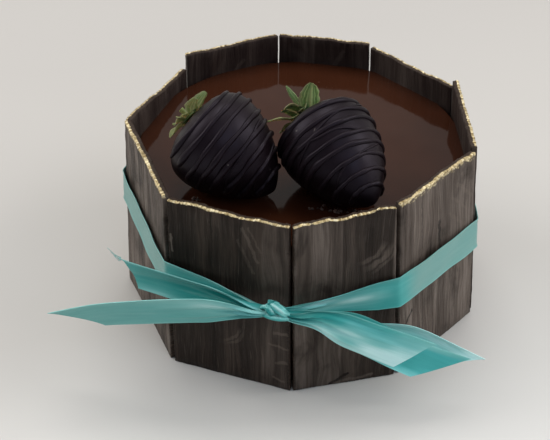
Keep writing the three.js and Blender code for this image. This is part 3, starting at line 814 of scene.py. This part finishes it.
# %% Berry bodies
def make_berry(side):
    berry = BERRIES[side]
    length, half = berry["length"] * MM, berry["width"] / 2 * MM
    stations = [0.5 - 0.5 * math.cos(math.pi * i / 56) for i in range(1, 56)]
    radii = [berry_outline(t) * half for t in stations]
    bpy.ops.object.select_all(action="DESELECT")
    bpy.ops.mesh.primitive_circle_add(
        vertices=112, radius=radii[0], fill_type="TRIFAN", rotation=(-math.pi / 2, 0, 0),
        location=(0, (stations[0] - BALANCE) * length, 0))
    body = bpy.context.object
    body.name = f"dipped_strawberry_{side}"
    settle(body)
    open_all(body)
    for before, t, r0, r1 in zip(stations, stations[1:], radii, radii[1:]):
        bpy.ops.mesh.extrude_region_move(TRANSFORM_OT_translate={"value": (0, (t - before) * length, 0)})
        bpy.ops.transform.resize(value=(r1 / r0, 1, r1 / r0), center_override=(0, (t - BALANCE) * length, 0))
    bpy.ops.mesh.select_all(action="SELECT")
    bpy.ops.mesh.normals_make_consistent(inside=False)
    close()
    modify(body, "DISPLACE", texture=clouds(f"lumps_{side}", 0.018), texture_coords="LOCAL",
           strength=0.9 * MM, mid_level=0.5)
    body.matrix_world = berry_frame(side)
    smooth(body, 60)
    return finish(body, dipping_chocolate, "dipped_strawberry", f"strawberry_{side}")


make_berry("left")
make_berry("right")


# %% Drizzle
def lay_cord(name, points, radii):
    """A round cord along points, each with its own radius, made a mesh."""
    data = bpy.data.curves.new(name, "CURVE")
    data.dimensions = "3D"
    data.bevel_depth = 1.0
    data.bevel_resolution = 3
    data.use_fill_caps = True
    spline = data.splines.new("POLY")
    spline.points.add(len(points) - 1)
    for point, where, radius in zip(spline.points, points, radii):
        point.co = (*where, 1)
        point.radius = radius
    cord = bpy.data.objects.new(name, data)
    bpy.context.scene.collection.objects.link(cord)
    pick(cord)
    bpy.ops.object.convert(target="MESH")
    return bpy.context.object


def join(name, objects):
    """Joins pieces into one."""
    pick(objects[0])
    for obj in objects[1:]:
        obj.select_set(True)
    bpy.ops.object.join()
    objects[0].name = name
    return objects[0]


def on_berry(berry, t, around, lift):
    """A point on a berry's coat, at t along it and an angle from its top, raised by lift."""
    t = min(max(t, 0.004), 0.996)
    radius = berry_outline(t) * berry["width"] / 2 + lift
    return Vector((radius * math.sin(around), (t - BALANCE) * berry["length"], radius * math.cos(around))) * MM


STRAYS = {
    # thin strings that cross the others: start and end along the berry, and start and end angles
    "left": [(0.50, 0.66, -20, 95), (0.72, 0.90, -30, 110)],
    "right": [(0.20, 0.46, -60, 110), (0.48, 0.32, -10, 70), (0.62, 0.80, -40, 110)],
}


def make_drizzle(side, seed):
    berry = BERRIES[side]
    rng = np.random.default_rng(seed)
    cords = []
    for number, t0 in enumerate(berry["strings"]):
        phase, wide = rng.uniform(0, FULL_TURN), rng.uniform(0.85, 1.15)
        start, end = rng.uniform(-125, -105), rng.uniform(105, 125)
        points, radii = [], []
        for angle in np.radians(np.linspace(start, end, 110)):
            bell = math.sin(math.pi * t0)
            wander = 0.009 * math.sin(2 * angle + phase) + 0.003 * math.sin(7 * angle + 2 * phase)
            t = t0 + bell * (berry["slant"] * math.sin(angle) + wander)
            points.append(on_berry(berry, t, angle, -0.10))
            bead = 1 + 0.14 * math.sin(5 * angle + phase) + 0.07 * math.sin(13 * angle)
            heavy = 1 + 0.30 * math.exp(-((math.degrees(angle) - 80) / 22) ** 2)
            radii.append(1.20 * MM * wide * bead * heavy * min(1, (end - math.degrees(angle)) / 12 + 0.3))
        cords.append(lay_cord(f"string_{side}_{number}", points, radii))
    for number, (t0, t1, a0, a1) in enumerate(STRAYS[side]):
        phase = rng.uniform(0, FULL_TURN)
        steps = np.linspace(0, 1, 80)
        points = [on_berry(berry, t0 + (t1 - t0) * s + 0.01 * math.sin(9 * s + phase),
                           math.radians(a0 + (a1 - a0) * s), 0.15) for s in steps]
        radii = [0.5 * MM * (1 + 0.2 * math.sin(14 * s)) for s in steps]
        cords.append(lay_cord(f"stray_{side}_{number}", points, radii))
    drizzle = join(f"drizzle_{side}", cords)
    drizzle.matrix_world = berry_frame(side)
    smooth(drizzle, 60)
    return finish(drizzle, dipping_chocolate, "dipped_strawberry")


make_drizzle("left", 3)
make_drizzle("right", 8)

# %% [markdown]
# ## Leaves
# Each calyx is a ring of sepals on a small hub with a stub of stem. One sepal could be bent by a
# modifier, but each one here curls its own way, so a grid is shaped by a short formula: a pointed
# outline, a raised midrib, a cupped section and a curl that grows towards the tip. Solidify then
# gives it the thickness of a leaf.

# %% Calyces
SEPALS = {
    # turn round the stem, length, width, rise off the berry, curl at the tip, twist, and age with
    # painted shade: from -1, painted shade on a curled sepal, through 0, fresh, to 1, dry
    "left": [(352, 9, 7.0, 24, 0, 40, 0.40), (308, 12, 6.5, 10, -6, 55, 0.30), (60, 7, 5.0, 30, 10, 20, 0.6),
             (128, 11, 2.8, 8, 5, 20, 1.0), (95, 8, 3.6, 30, 10, 10, 0.8), (200, 10, 6.0, 20, 30, 0, 0.2),
             (255, 10, 6.0, 16, 20, 0, 0.3)],
    "right": [(352, 16, 11.0, 26, -10, 15, -0.10), (28, 17, 2.8, 60, -34, 0, 0.15), (62, 14, 9.0, 52, 50, 20, -1.0),
              (100, 17, 10.5, 34, 0, 40, 0.75), (126, 13, 3.6, 20, 5, 10, 1.0), (25, 8, 6.0, 30, 50, 0, -0.7),
              (222, 12, 7.0, 20, 30, 0, 0.3), (285, 8, 6.0, 12, 10, 0, 0.2)],
}


def make_sepal(name, turn, length, width, rise, curl, twist, age_and_shade):
    """One sepal with its root at the origin: it springs sideways, away from the berry's -Y end."""
    bpy.ops.object.select_all(action="DESELECT")
    bpy.ops.mesh.primitive_grid_add(x_subdivisions=24, y_subdivisions=10, size=1)
    sepal = bpy.context.object
    sepal.name = name
    rows = places(sepal)
    along, side = rows[:, 0] + 0.5, rows[:, 1] * 2
    half = width / 2 * (0.30 + 0.70 * np.sin(np.pi * np.minimum(along * 0.80 + 0.12, 1)) ** 0.8)
    half = half * (1 - along ** 8 * 0.75) * (1 + 0.05 * np.sin(26 * along + 3 * side))
    bend = np.radians(rise) - np.radians(curl + rise * 0.5) * along ** 1.5
    step = np.linspace(0, 1, 60)
    bend_at = np.radians(rise) - np.radians(curl + rise * 0.5) * step ** 1.5
    reach_at = np.cumsum(np.cos(bend_at)) * length / 60
    lift_at = np.cumsum(np.sin(bend_at)) * length / 60
    reach = np.interp(along, step, reach_at) + 2.0
    lift = np.interp(along, step, lift_at) + 0.6
    cup = 1.1 * side ** 2 * np.sin(np.pi * along) + 0.6 * np.sin(7 * along + turn) * side
    ribs = 0.22 * np.cos(side * 4 * np.pi) * np.sin(np.pi * along) - 0.3 * np.exp(-(side / 0.12) ** 2)
    turned = np.radians(twist) * smoothstep(along, 0.05, 0.5)
    lift = lift + (cup + ribs) * np.cos(bend) + half * side * np.sin(turned)
    sideways = half * side * np.cos(turned)
    angle = math.radians(turn)
    radial, crosswise = (math.sin(angle), math.cos(angle)), (math.cos(angle), -math.sin(angle))
    place(sepal, np.column_stack([
        radial[0] * reach + crosswise[0] * sideways, -lift, radial[1] * reach + crosswise[1] * sideways,
    ]) * MM)
    give_uv(sepal, "blade", np.column_stack([along * length / 10, side / 2]))
    modify(sepal, "SOLIDIFY", thickness=0.35 * MM, offset=0)
    give_value(sepal, "age_and_shade", age_and_shade)
    return sepal


def make_calyx(side):
    leaves = [make_sepal(f"sepal_{side}_{n}", *shape) for n, shape in enumerate(SEPALS[side])]
    bpy.ops.object.select_all(action="DESELECT")
    bpy.ops.mesh.primitive_cylinder_add(vertices=20, radius=4.2 * MM, depth=1.2 * MM, location=(0, -0.6 * MM, 0),
                                        rotation=(math.pi / 2, 0, 0))
    hub = settle(bpy.context.object)
    open_where(hub, "FACE", lambda face: face.normal.y < -0.5)
    for out, share in ((0.9, 0.62), (0.7, 0.55), (1.6, 0.85), (2.0, 1.12)):
        bpy.ops.mesh.extrude_region_move(TRANSFORM_OT_translate={"value": (0, -out * MM, 0.1 * MM)})
        bpy.ops.transform.resize(value=(share, 1, share))
    bpy.ops.mesh.inset(thickness=0.4 * MM)
    bpy.ops.transform.translate(value=(0, 0.5 * MM, 0))
    close()
    give_uv(hub, "blade", np.column_stack([places(hub)[:, 1] / CM * 3, places(hub)[:, 0] / CM]))
    give_value(hub, "age_and_shade", 0.75)
    modify(hub, "SUBSURF", levels=2, render_levels=2)
    calyx = join(f"calyx_leaves_{side}", [*leaves, hub])
    stem_end = -BALANCE * BERRIES[side]["length"] * MM - 0.35 * MM
    calyx.matrix_world = berry_frame(side) @ Matrix.Translation((0, stem_end, 0))
    smooth(calyx, 60)
    return finish(calyx, strawberry_sepal, "strawberry_leaf", f"calyx_{side}")


make_calyx("left")
make_calyx("right")

# %% [markdown]
# ## Satin ribbon
# The ribbon is one strip, 16.5 mm wide, that runs round the panels and ends in four loose tails.
# Cloth simulation could drape it, but a tied ribbon is held by its own stiffness, so its folds
# are laid by rule: a smooth middle line, an upright that leans, pleats that fade away from the
# knot, and edges that curl. One helper makes every strip from these.

# %% A strip of ribbon
RIBBON_WIDTH = 16.5
RIBBON_THICKNESS = 0.3


def batten(pins, count):
    """Points on the smooth line that a thin batten takes through pins."""
    pins = np.array(pins, float)
    last = len(pins) - 1
    knots = np.concatenate([[0], np.cumsum(np.linalg.norm(np.diff(pins, axis=0), axis=1))])
    span = np.diff(knots)
    system, pull = np.eye(last + 1), np.zeros((last + 1, 3))
    for i in range(1, last):
        system[i, i - 1:i + 2] = span[i - 1], 2 * (span[i - 1] + span[i]), span[i]
        pull[i] = 6 * ((pins[i + 1] - pins[i]) / span[i] - (pins[i] - pins[i - 1]) / span[i - 1])
    bend = np.linalg.solve(system, pull)
    at = np.linspace(0, knots[-1], count)
    k = np.clip(np.searchsorted(knots, at, side="right") - 1, 0, last - 1)
    b = ((at - knots[k]) / span[k])[:, None]
    a = 1 - b
    curve = ((a**3 - a) * bend[k] + (b**3 - b) * bend[k + 1]) * span[k][:, None]**2 / 6
    return a * pins[k] + b * pins[k + 1] + curve


def cloth_grid(name, steps, rows):
    """A grid of cloth: the share of the way along and the place across (-0.5 to 0.5) of each vertex."""
    bpy.ops.object.select_all(action="DESELECT")
    bpy.ops.mesh.primitive_grid_add(x_subdivisions=steps, y_subdivisions=rows, size=1)
    grid = bpy.context.object
    grid.name = name
    flat = places(grid)
    return grid, flat[:, 0] + 0.5, flat[:, 1]


def read_table(table, share, across):
    """Smooth reading of a table whose rows run along a strip and whose columns run across it."""
    table = np.array(table, float)
    row = np.clip(share, 0, 1) * (len(table) - 1)
    column = np.clip(across + 0.5, 0, 1) * (len(table[0]) - 1)
    i, j = np.minimum(row.astype(int), len(table) - 2), np.minimum(column.astype(int), len(table[0]) - 2)
    a, b = smoothstep(row - i, 0, 1), smoothstep(column - j, 0, 1)
    near = table[i, j] * (1 - b) + table[i, j + 1] * b
    far = table[i + 1, j] * (1 - b) + table[i + 1, j + 1] * b
    return near * (1 - a) + far * a


def lay_cloth(grid, points, along, across, gleam, painted_sheen=0.0):
    """Puts the cloth in place, with its UV map in centimetres, its gleam, its painted sheen and its thickness."""
    place(grid, points * MM)
    give_uv(grid, "cloth", np.column_stack([along / 10, across / 10]))
    give_value(grid, "gleam", gleam)
    give_value(grid, "painted_sheen", painted_sheen)
    modify(grid, "SOLIDIFY", thickness=RIBBON_THICKNESS * MM, offset=0, use_even_offset=True)
    smooth(grid, 60)
    return grid


# %% Tails
TAILS = {
    # middle line from inside the knot, lean of the upper edge in degrees, width at the knot, how much
    # the upper edge is longer, how far the edges curl, depth of the pleats, and the belly of the strip.
    # The last one is the upper edge of the lower right end, turned over and seen behind it.
    # The gleam has a row for each place along the strip, and reads across it from the lower edge.
    "left_upper": {
        "route": [(-12.0, -92.2, 54.4), (-18.6, -90.6, 54.6), (-33, -88.2, 57.4), (-48, -84.0, 59.4),
                  (-63, -77.5, 59.4), (-80.0, -68.6, 58.6)],
        "lean": (12, 12, 12, 13, 14, 14), "neck": 3.0, "skew": 7, "low_curl": 2.4, "high_curl": 1.2,
        "pleat": 1.3, "belly": -1.6,
        "gleam": [(0.40, 0.22, 0.16, 0.28, 0.70), (0.55, 0.34, 0.20, 0.25, 0.75), (0.62, 0.45, 0.32, 0.34, 0.72),
                  (0.85, 0.58, 0.45, 0.42, 0.68), (0.70, 0.58, 0.50, 0.50, 0.66)],
    },
    "left_lower": {
        "route": [(-12.0, -93.2, 54.6), (-18.6, -94.6, 55.6), (-33, -96.0, 57.6), (-55, -92.8, 54.8),
                  (-76, -88.0, 49.3), (-92, -83.5, 43.8), (-111.1, -78.8, 35.1)],
        "lean": (10, 10, 12, 13, 15, 17, 17), "neck": 2.4, "skew": 21.6, "low_curl": 0.5, "high_curl": 0.5,
        # this end also carries a painted sheen, a painted reflection that greys it
        "pleat": 0.9, "belly": 0.5, "painted_sheen": 0.30,
        "gleam": [(0.50, 0.50, 0.55, 0.62, 0.70), (0.52, 0.48, 0.55, 0.88, 0.60), (0.55, 0.50, 0.50, 0.62, 0.80),
                  (0.60, 0.55, 0.54, 0.54, 0.58), (0.60, 0.58, 0.58, 0.56, 0.54), (0.60, 0.60, 0.60, 0.58, 0.54)],
    },
    "right_front": {
        "route": [(-7.8, -93.2, 53.8), (-0.6, -95.6, 53.6), (8, -98.0, 54.6), (18, -100.5, 53.0),
                  (33, -103.5, 48.6), (57.2, -106.2, 39.4)],
        "lean": (-8, -10, -15, -16, -24, -30), "neck": 2.6, "skew": 13.5, "low_curl": 0.8, "high_curl": 1.2,
        "pleat": 1.1, "belly": 2.4,
        "gleam": [(0.75, 0.80, 0.45, 0.15, 0.10), (0.95, 0.90, 0.65, 0.25, 0.15), (0.85, 0.72, 0.85, 0.60, 0.30),
                  (0.95, 1.00, 0.72, 0.58, 0.50), (1.00, 1.00, 0.85, 0.70, 0.62), (1.00, 1.00, 0.90, 0.78, 0.68)],
    },
    "right_back": {
        "route": [(-7.8, -92.0, 52.6), (-0.4, -91.2, 50.8), (12.4, -94.0, 50.0), (29.5, -94.2, 42.7),
                  (45.9, -95.9, 34.2), (75.6, -98.1, 22.4)],
        "lean": (-5, -5, -28, -36, -38, -38), "neck": 3.6, "skew": 24, "low_curl": 0.8, "high_curl": 0.6,
        "pleat": 0.9, "belly": 0.6,
        "gleam": [(0.55, 0.30, 0.25, 0.25, 0.30), (0.60, 0.30, 0.25, 0.25, 0.35), (0.62, 0.38, 0.32, 0.36, 0.50),
                  (0.66, 0.46, 0.42, 0.42, 0.75), (0.56, 0.50, 0.44, 0.42, 0.66)],
    },
    "right_turned": {
        "route": [(20, -87.0, 43.4), (36, -86.4, 38.1), (50, -87.4, 36.5), (64, -89.6, 31.0), (83.0, -91.8, 21.2)],
        "lean": (-30, -34, -36, -37, -37), "neck": 6.0, "skew": 17, "low_curl": 0.0, "high_curl": 1.0,
        "pleat": 0.2, "belly": 0.0, "width": 10.0,
        "gleam": [(0.5, 0.5, 0.6, 0.6, 0.70), (0.5, 0.6, 0.7, 0.82, 0.90), (0.6, 0.7, 0.8, 0.88, 0.90),
                  (1.0, 1.0, 1.0, 1.0, 1.0)],
    },
}
LEAD = 7.0  # millimetres of a tail that are hidden in the knot


def make_tail(name, tail, phase):
    grid, share, across = cloth_grid(f"satin_tail_{name}", 120, 22)
    line = batten(tail["route"], 240)
    run = np.concatenate([[0], np.cumsum(np.linalg.norm(np.diff(line, axis=0), axis=1))])
    length = run[-1]
    tangent = np.gradient(line, axis=0)
    tangent /= np.linalg.norm(tangent, axis=1)[:, None]
    upright = np.array([0, 0, 1]) - tangent * tangent[:, 2:3]
    upright /= np.linalg.norm(upright, axis=1)[:, None]
    outward = np.cross(tangent, upright)
    outward *= np.where(outward[:, 1:2] > 0, -1, 1)
    lean = np.radians(np.interp(run / length, np.linspace(0, 1, len(tail["lean"])), tail["lean"]))[:, None]
    crosswise = upright * np.cos(lean) + outward * np.sin(lean)
    facing = outward * np.cos(lean) - upright * np.sin(lean)

    along = share * (1 - tail["skew"] * (0.5 - across) / length) * length
    out_of_knot = along - LEAD
    full = tail.get("width", RIBBON_WIDTH)
    width = tail["neck"] + (full - tail["neck"]) * smoothstep(out_of_knot, -6, 26)
    near = np.exp(-np.maximum(out_of_knot, 0) / 20)
    pleats = tail["pleat"] * near * np.sin(2 * math.pi * (2.3 * across + 0.015 * along) + phase)
    pleats += 0.4 * tail["pleat"] * near * np.sin(2 * math.pi * (5.1 * across) + 2 * phase)
    low = tail["low_curl"] * np.clip(-across - 0.05, 0, 1) ** 2 / 0.2 * smoothstep(out_of_knot, 5, 40)
    high = tail["high_curl"] * np.clip(across - 0.30, 0, 1) ** 2 / 0.04 * smoothstep(out_of_knot, 0, 30)
    belly = tail["belly"] * np.sin(np.pi * np.clip(out_of_knot / 60, 0, 1)) * (1 - 4 * across ** 2)
    sway = 0.5 * np.sin(along / 15 + phase) * (across + 0.3)
    out = pleats + low + high + belly + sway

    def at(table):
        return np.column_stack([np.interp(along, run, table[:, axis]) for axis in range(3)])

    points = at(line) + at(crosswise) * (width * across)[:, None] + at(facing) * out[:, None]
    gleam = read_table(tail["gleam"], out_of_knot / (length - LEAD), across)
    lay_cloth(grid, points, along, across * full, gleam, tail.get("painted_sheen", 0.0))
    nodes = [f"ribbon_tail_{name}"] if name != "right_turned" else []
    finish(grid, teal_satin, "satin_ribbon", *nodes)
    print(f"  {name}: {length:.0f} mm long")
    return grid


# %% [markdown]
# ### The knot
# The knot is the ribbon itself, pulled tight: a small crumpled wad with a few turns laid over it.
# It faces the front and a little upwards, so its turns are described in a frame that looks that
# way: sideways, upwards along the knot, and out of it. A rounded wad goes inside, and each turn
# is a short bulging strip with pleats along it. The wad only fills the middle, where the real knot
# has more turns of ribbon that can't be seen.

# %% Knot
KNOT_MIDDLE = Vector((-10.3, -92.6, 55.6))
KNOT_SIZE = (0.78, 0.66, 0.90)
KNOT_RIGHT = Vector((1.0, 0.0, 0.0))
KNOT_UP = Vector((0.0, 0.6, 0.8))
KNOT_OUT = Vector((0.0, -0.8, 0.6))
KNOT_AXES = np.array([KNOT_RIGHT, KNOT_UP, KNOT_OUT])
# The cloth inside a knot can't be seen, so the amount of it is a guess.
TURNS = {
    # middle line (sideways, up, out), width, bulge, pleats, gleam
    "over": ([(-4.6, 5.0, -1.0), (-2.2, 4.4, 2.2), (1.4, 1.6, 3.9), (4.6, -1.4, 3.4), (7.6, -3.6, 0.0)],
             5.4, 1.3, 2.0,
             [(0.5, 0.5, 0.8, 0.6, 0.3), (0.75, 0.6, 0.95, 0.7, 0.35), (0.45, 0.8, 0.6, 0.8, 0.5)]),
    "beside": ([(-5.6, 4.2, 0.0), (-4.6, 2.6, 2.4), (-3.4, 0.2, 3.2), (-1.8, -2.2, 2.6), (0.4, -3.8, 0.6)],
               4.2, 1.0, 1.5,
               [(0.9, 0.4, 0.8, 0.3, 0.1), (0.5, 0.9, 0.5, 0.2, 0.1), (0.7, 0.5, 0.3, 0.2, 0.1)]),
    "loop": ([(-4.2, 3.0, 1.2), (-3.0, 4.8, 2.6), (-1.0, 5.6, 3.0), (1.0, 4.8, 2.2), (2.2, 3.0, 0.6)],
             2.2, 0.5, 1.0,
             [(0.2, 0.4, 0.6, 0.7, 0.7), (0.1, 0.3, 0.6, 0.8, 0.8), (0.2, 0.3, 0.4, 0.5, 0.6)]),
    "under": ([(-10.0, -0.6, 0.0), (-6.0, -2.6, 1.8), (-1.5, -4.4, 2.6), (3.0, -5.2, 2.4), (7.8, -5.6, 0.2)],
              3.8, 0.8, 1.0,
              [(0.8, 0.75, 0.6, 0.4, 0.2), (0.85, 0.8, 0.75, 0.5, 0.2), (0.85, 0.8, 0.7, 0.6, 0.3)]),
    "tuck": ([(-9.0, 1.4, 0.0), (-6.4, 2.2, 1.6), (-4.2, 1.4, 2.6), (-2.4, -0.4, 2.2), (-1.0, -2.0, 0.8)],
             3.4, 0.9, 1.5,
             [(0.6, 0.7, 0.5, 0.3, 0.2), (0.9, 0.95, 0.7, 0.4, 0.2), (0.9, 0.6, 0.4, 0.2, 0.1)]),
}


def from_knot(local):
    """Places in millimetres, from rows of sideways, up and out from the knot's middle."""
    return np.array(KNOT_MIDDLE) + local @ KNOT_AXES


def make_turn(name, pins, width, bulge, pleats, gleam, phase):
    grid, share, across = cloth_grid(f"satin_turn_{name}", 36, 14)
    line = batten(pins, 80)
    tangent = np.gradient(line, axis=0)
    crosswise = np.cross(tangent, (0, 0, 1))
    crosswise /= np.linalg.norm(crosswise, axis=1)[:, None]
    at = np.linspace(0, 1, 80)
    middle = np.column_stack([np.interp(share, at, line[:, axis]) for axis in range(3)])
    side = np.column_stack([np.interp(share, at, crosswise[:, axis]) for axis in range(3)])
    narrow = 0.72 + 0.28 * np.sin(np.pi * share)
    out = bulge * (1 - 4 * across ** 2) + 0.32 * np.sin(2 * math.pi * pleats * across + phase + 3 * share)
    out += 0.20 * np.sin(17 * share + 9 * across + phase)
    local = middle + side * (width * narrow * across)[:, None]
    local[:, 2] += out
    lay_cloth(grid, from_knot(local * KNOT_SIZE), share * 14, across * RIBBON_WIDTH, read_table(gleam, share, across))
    return grid


def make_knot():
    bpy.ops.object.select_all(action="DESELECT")
    bpy.ops.mesh.primitive_uv_sphere_add(segments=40, ring_count=24, radius=1, location=(0, 0, 0))
    wad = bpy.context.object
    wad.name = "satin_wad"
    open_all(wad)
    bpy.ops.transform.resize(value=(5.0 * MM, 2.8 * MM, 3.0 * MM))
    close()
    modify(wad, "DISPLACE", texture=clouds("wad_folds", 0.003), texture_coords="LOCAL",
           strength=1.6 * MM, mid_level=0.5)
    rows = places(wad) / MM
    place(wad, from_knot(rows) * MM)
    give_uv(wad, "cloth", rows[:, :2] / 10)
    give_value(wad, "gleam", 0.25)
    smooth(wad, 60)
    finish(wad, teal_satin, "satin_ribbon", "ribbon_knot")
    turns = [make_turn(name, *shape, 1.7 * number) for number, (name, shape) in enumerate(TURNS.items())]
    knot = join("satin_knot", turns)
    finish(knot, teal_satin, "satin_ribbon")


make_knot()

for tail_number, (tail_name, tail_shape) in enumerate(TAILS.items()):
    make_tail(tail_name, tail_shape, 1.3 * tail_number)

# %% [markdown]
# ### The band
# The band is pulled tight, so it lies flat on each panel and turns sharply at each corner. Its
# upper and lower edge are read from the construction's solid, at every place where that has a
# vertex, and new cloth is laid between them. Near the knot it gathers, and pleats spread from
# there like a fan.

# %% Band
KNOT_AZIMUTH = 257.8  # degrees
BAND_ROUND = 536  # millimetres, the length that the places in BAND_GLEAM are counted on


def band_edges():
    """The lower and upper edge of the construction's band, station by station round the cake."""
    solid = np.unique(np.round(places(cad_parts["ribbon_band"]) / MM, 3), axis=0)
    turn = np.mod(math.radians(KNOT_AZIMUTH + 1) - np.arctan2(solid[:, 1], solid[:, 0]), 2 * math.pi)
    order = np.argsort(turn)
    groups = np.split(order, np.flatnonzero(np.diff(turn[order]) > 0.015) + 1)
    lower, upper = [], []
    for group in groups:
        ring = solid[group][np.argsort(solid[group][:, 2])]
        half = len(ring) // 2
        lower.append(ring[:half].mean(axis=0))
        upper.append(ring[half:].mean(axis=0))
    return np.array(lower), np.array(upper)


BAND_GLEAM = [
    # millimetres from the knot round by the left and the back, and the gleam from lower to upper edge
    (0, (0.15, 0.15, 0.20, 0.45, 0.85)), (14, (0.18, 0.16, 0.14, 0.35, 0.90)),
    (45, (0.32, 0.26, 0.26, 0.36, 0.60)), (62, (0.72, 0.68, 0.66, 0.66, 0.64)),
    (120, (0.70, 0.68, 0.66, 0.66, 0.66)), (400, (0.66, 0.64, 0.64, 0.64, 0.64)),
    (462, (0.66, 0.66, 0.66, 0.64, 0.64)), (478, (0.47, 0.45, 0.49, 0.47, 0.47)),
    (500, (0.48, 0.66, 0.98, 0.62, 0.44)),
    (518, (0.28, 0.75, 0.55, 0.95, 0.40)), (536, (0.20, 0.40, 0.25, 0.45, 0.40)),
]


def make_band():
    lower, upper = band_edges()
    knot = np.array(KNOT_MIDDLE)
    lower = np.vstack([knot + (-1.5, 1.5, -2.6), lower, knot + (2.5, 1.5, -2.6)])
    upper = np.vstack([knot + (-1.5, 1.5, 0.6), upper, knot + (2.5, 1.5, 0.6)])
    middle = (lower + upper) / 2
    run = np.concatenate([[0], np.cumsum(np.linalg.norm(np.diff(middle, axis=0), axis=1))])
    length = run[-1]
    grid, share, across = cloth_grid("satin_band", 420, 14)
    along = share * length

    def at(table):
        return np.column_stack([np.interp(along, run, table[:, axis]) for axis in range(3)])

    tangent = np.gradient(middle, run, axis=0)
    outward = np.cross(tangent, (0, 0, 1))
    outward /= np.linalg.norm(outward, axis=1)[:, None]
    outward *= np.sign((outward[:, :2] * middle[:, :2]).sum(axis=1))[:, None]
    from_knot = np.minimum(along, length - along)
    near = np.exp(-np.maximum(from_knot - 8, 0) / 18)
    pleats = near * (0.9 * np.sin(2 * math.pi * 2.2 * across + 0.8) + 0.35 * np.sin(2 * math.pi * 4.7 * across))
    pleats *= smoothstep(from_knot, 2, 9)
    ripple = 0.22 * np.sin(along / 9 + 2 * across) + 0.15 * np.sin(along / 3.7 + 4 * across)
    curl = 0.5 * np.clip(np.abs(across) - 0.36, 0, 1) ** 2 / 0.02
    out = 0.35 + pleats + ripple * (1 - near) + curl
    points = at(lower) + (at(upper) - at(lower)) * (across + 0.5)[:, None] + at(outward) * out[:, None]
    places_mm = [at_mm for at_mm, _ in BAND_GLEAM]
    marks = np.interp(along * BAND_ROUND / length, places_mm, range(len(BAND_GLEAM)))
    gleam = read_table([row for _, row in BAND_GLEAM], marks / (len(BAND_GLEAM) - 1), across)
    # Painted sheen: away from the two front panels the band is greyed as a painted reflection.
    painted_side_sheen = 0.6 * smoothstep(along, 52, 62) * (1 - smoothstep(along, length - 72, length - 58))
    lay_cloth(grid, points, along, across * RIBBON_WIDTH, gleam, painted_side_sheen)
    finish(grid, teal_satin, "satin_ribbon", "ribbon_band")
    print(f"  band: {len(lower)} stations, {length:.0f} mm long")
    return grid


make_band()

# %% [markdown]
# ### Frayed threads
# Where the upper left end was cut, a few threads have come loose and stand off the corner.

# %% Threads
def make_threads():
    tip = Vector((-81.0, -70.0, 66.4)) * MM
    ends = [(-5.4, -1.6, 6.8), (-4.2, -1.0, 4.0), (-2.4, -1.8, 3.2), (-3.0, -0.4, 1.4)]
    threads = []
    for number, end in enumerate(ends):
        sag = Vector((0.4, -0.3, -0.9)) * MM
        end = tip + Vector(end) * MM
        steps = np.linspace(0, 1, 14)
        points = [tip.lerp(end, t) + sag * math.sin(math.pi * t) * (1 + 0.4 * number) for t in steps]
        threads.append(lay_cord(f"thread_{number}", points, [0.16 * MM * (1 - 0.5 * t) for t in steps]))
    frayed = join("frayed_threads", threads)
    give_uv(frayed, "cloth", places(frayed)[:, :2] / CM)
    give_value(frayed, "gleam", 0.6)
    return finish(frayed, teal_satin, "satin_ribbon")


make_threads()

# %% [markdown]
# ## Crumbs
# Setting the berries down left crumbs and small smears of chocolate on the glaze beside them. One
# crumb is a ball of few faces, dented by noise. It is copied to places scattered by a seeded rule,
# each time turned and sized anew, and sunk a little so that it sits in the glaze.

# %% Crumbs
def crumb_finish():
    graph = Graph("chocolate_crumb")
    where = graph.add("TexCoord").outputs["Object"]
    colour = graph.ramp(graph.noise(where, 500.0, 2.0), (0.40, (0.020, 0.009, 0.006)), (0.62, (0.120, 0.070, 0.055)))
    graph.set(Base_Color=colour, Roughness=0.45)
    return graph.material


CRUMB_PATCHES = [
    # middle, spread, how many, and the largest size, in millimetres
    ((-49.0, -44.5), (3.5, 2.2), 9, 1.8),
    ((8.5, -50.5), (4.0, 1.8), 8, 1.6),
    ((16.5, -53.0), (4.5, 1.4), 12, 2.1),
    ((25.0, -52.5), (3.0, 1.6), 6, 1.6),
]


def make_crumbs():
    rng = np.random.default_rng(12)
    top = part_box("cake")[1].z
    bpy.ops.object.select_all(action="DESELECT")
    bpy.ops.mesh.primitive_ico_sphere_add(subdivisions=3, radius=1)
    pattern = bpy.context.object
    modify(pattern, "DISPLACE", texture=clouds("crumb_dents", 0.9), texture_coords="LOCAL",
           strength=1.1, mid_level=0.5)
    crumbs = []
    for middle, spread, count, largest in CRUMB_PATCHES:
        for _ in range(count):
            crumb = bpy.data.objects.new(f"crumb_{len(crumbs)}", pattern.data.copy())
            bpy.context.scene.collection.objects.link(crumb)
            size = largest * rng.uniform(0.35, 1.0) / 2 * MM
            crumb.scale = size * rng.uniform(0.8, 1.5), size, size * rng.uniform(0.5, 0.9)
            crumb.rotation_euler = (0, 0, rng.uniform(0, FULL_TURN))
            crumb.location = (*(np.array(middle) + rng.normal(0, 0.5, 2) * spread) * MM, top + 0.25 * size)
            settle(crumb)
            crumbs.append(crumb)
    pick(pattern)
    bpy.ops.object.delete()
    joined = join("chocolate_crumbs", crumbs)
    smooth(joined, 60)
    return finish(joined, crumb_finish(), "dipped_strawberry")


make_crumbs()
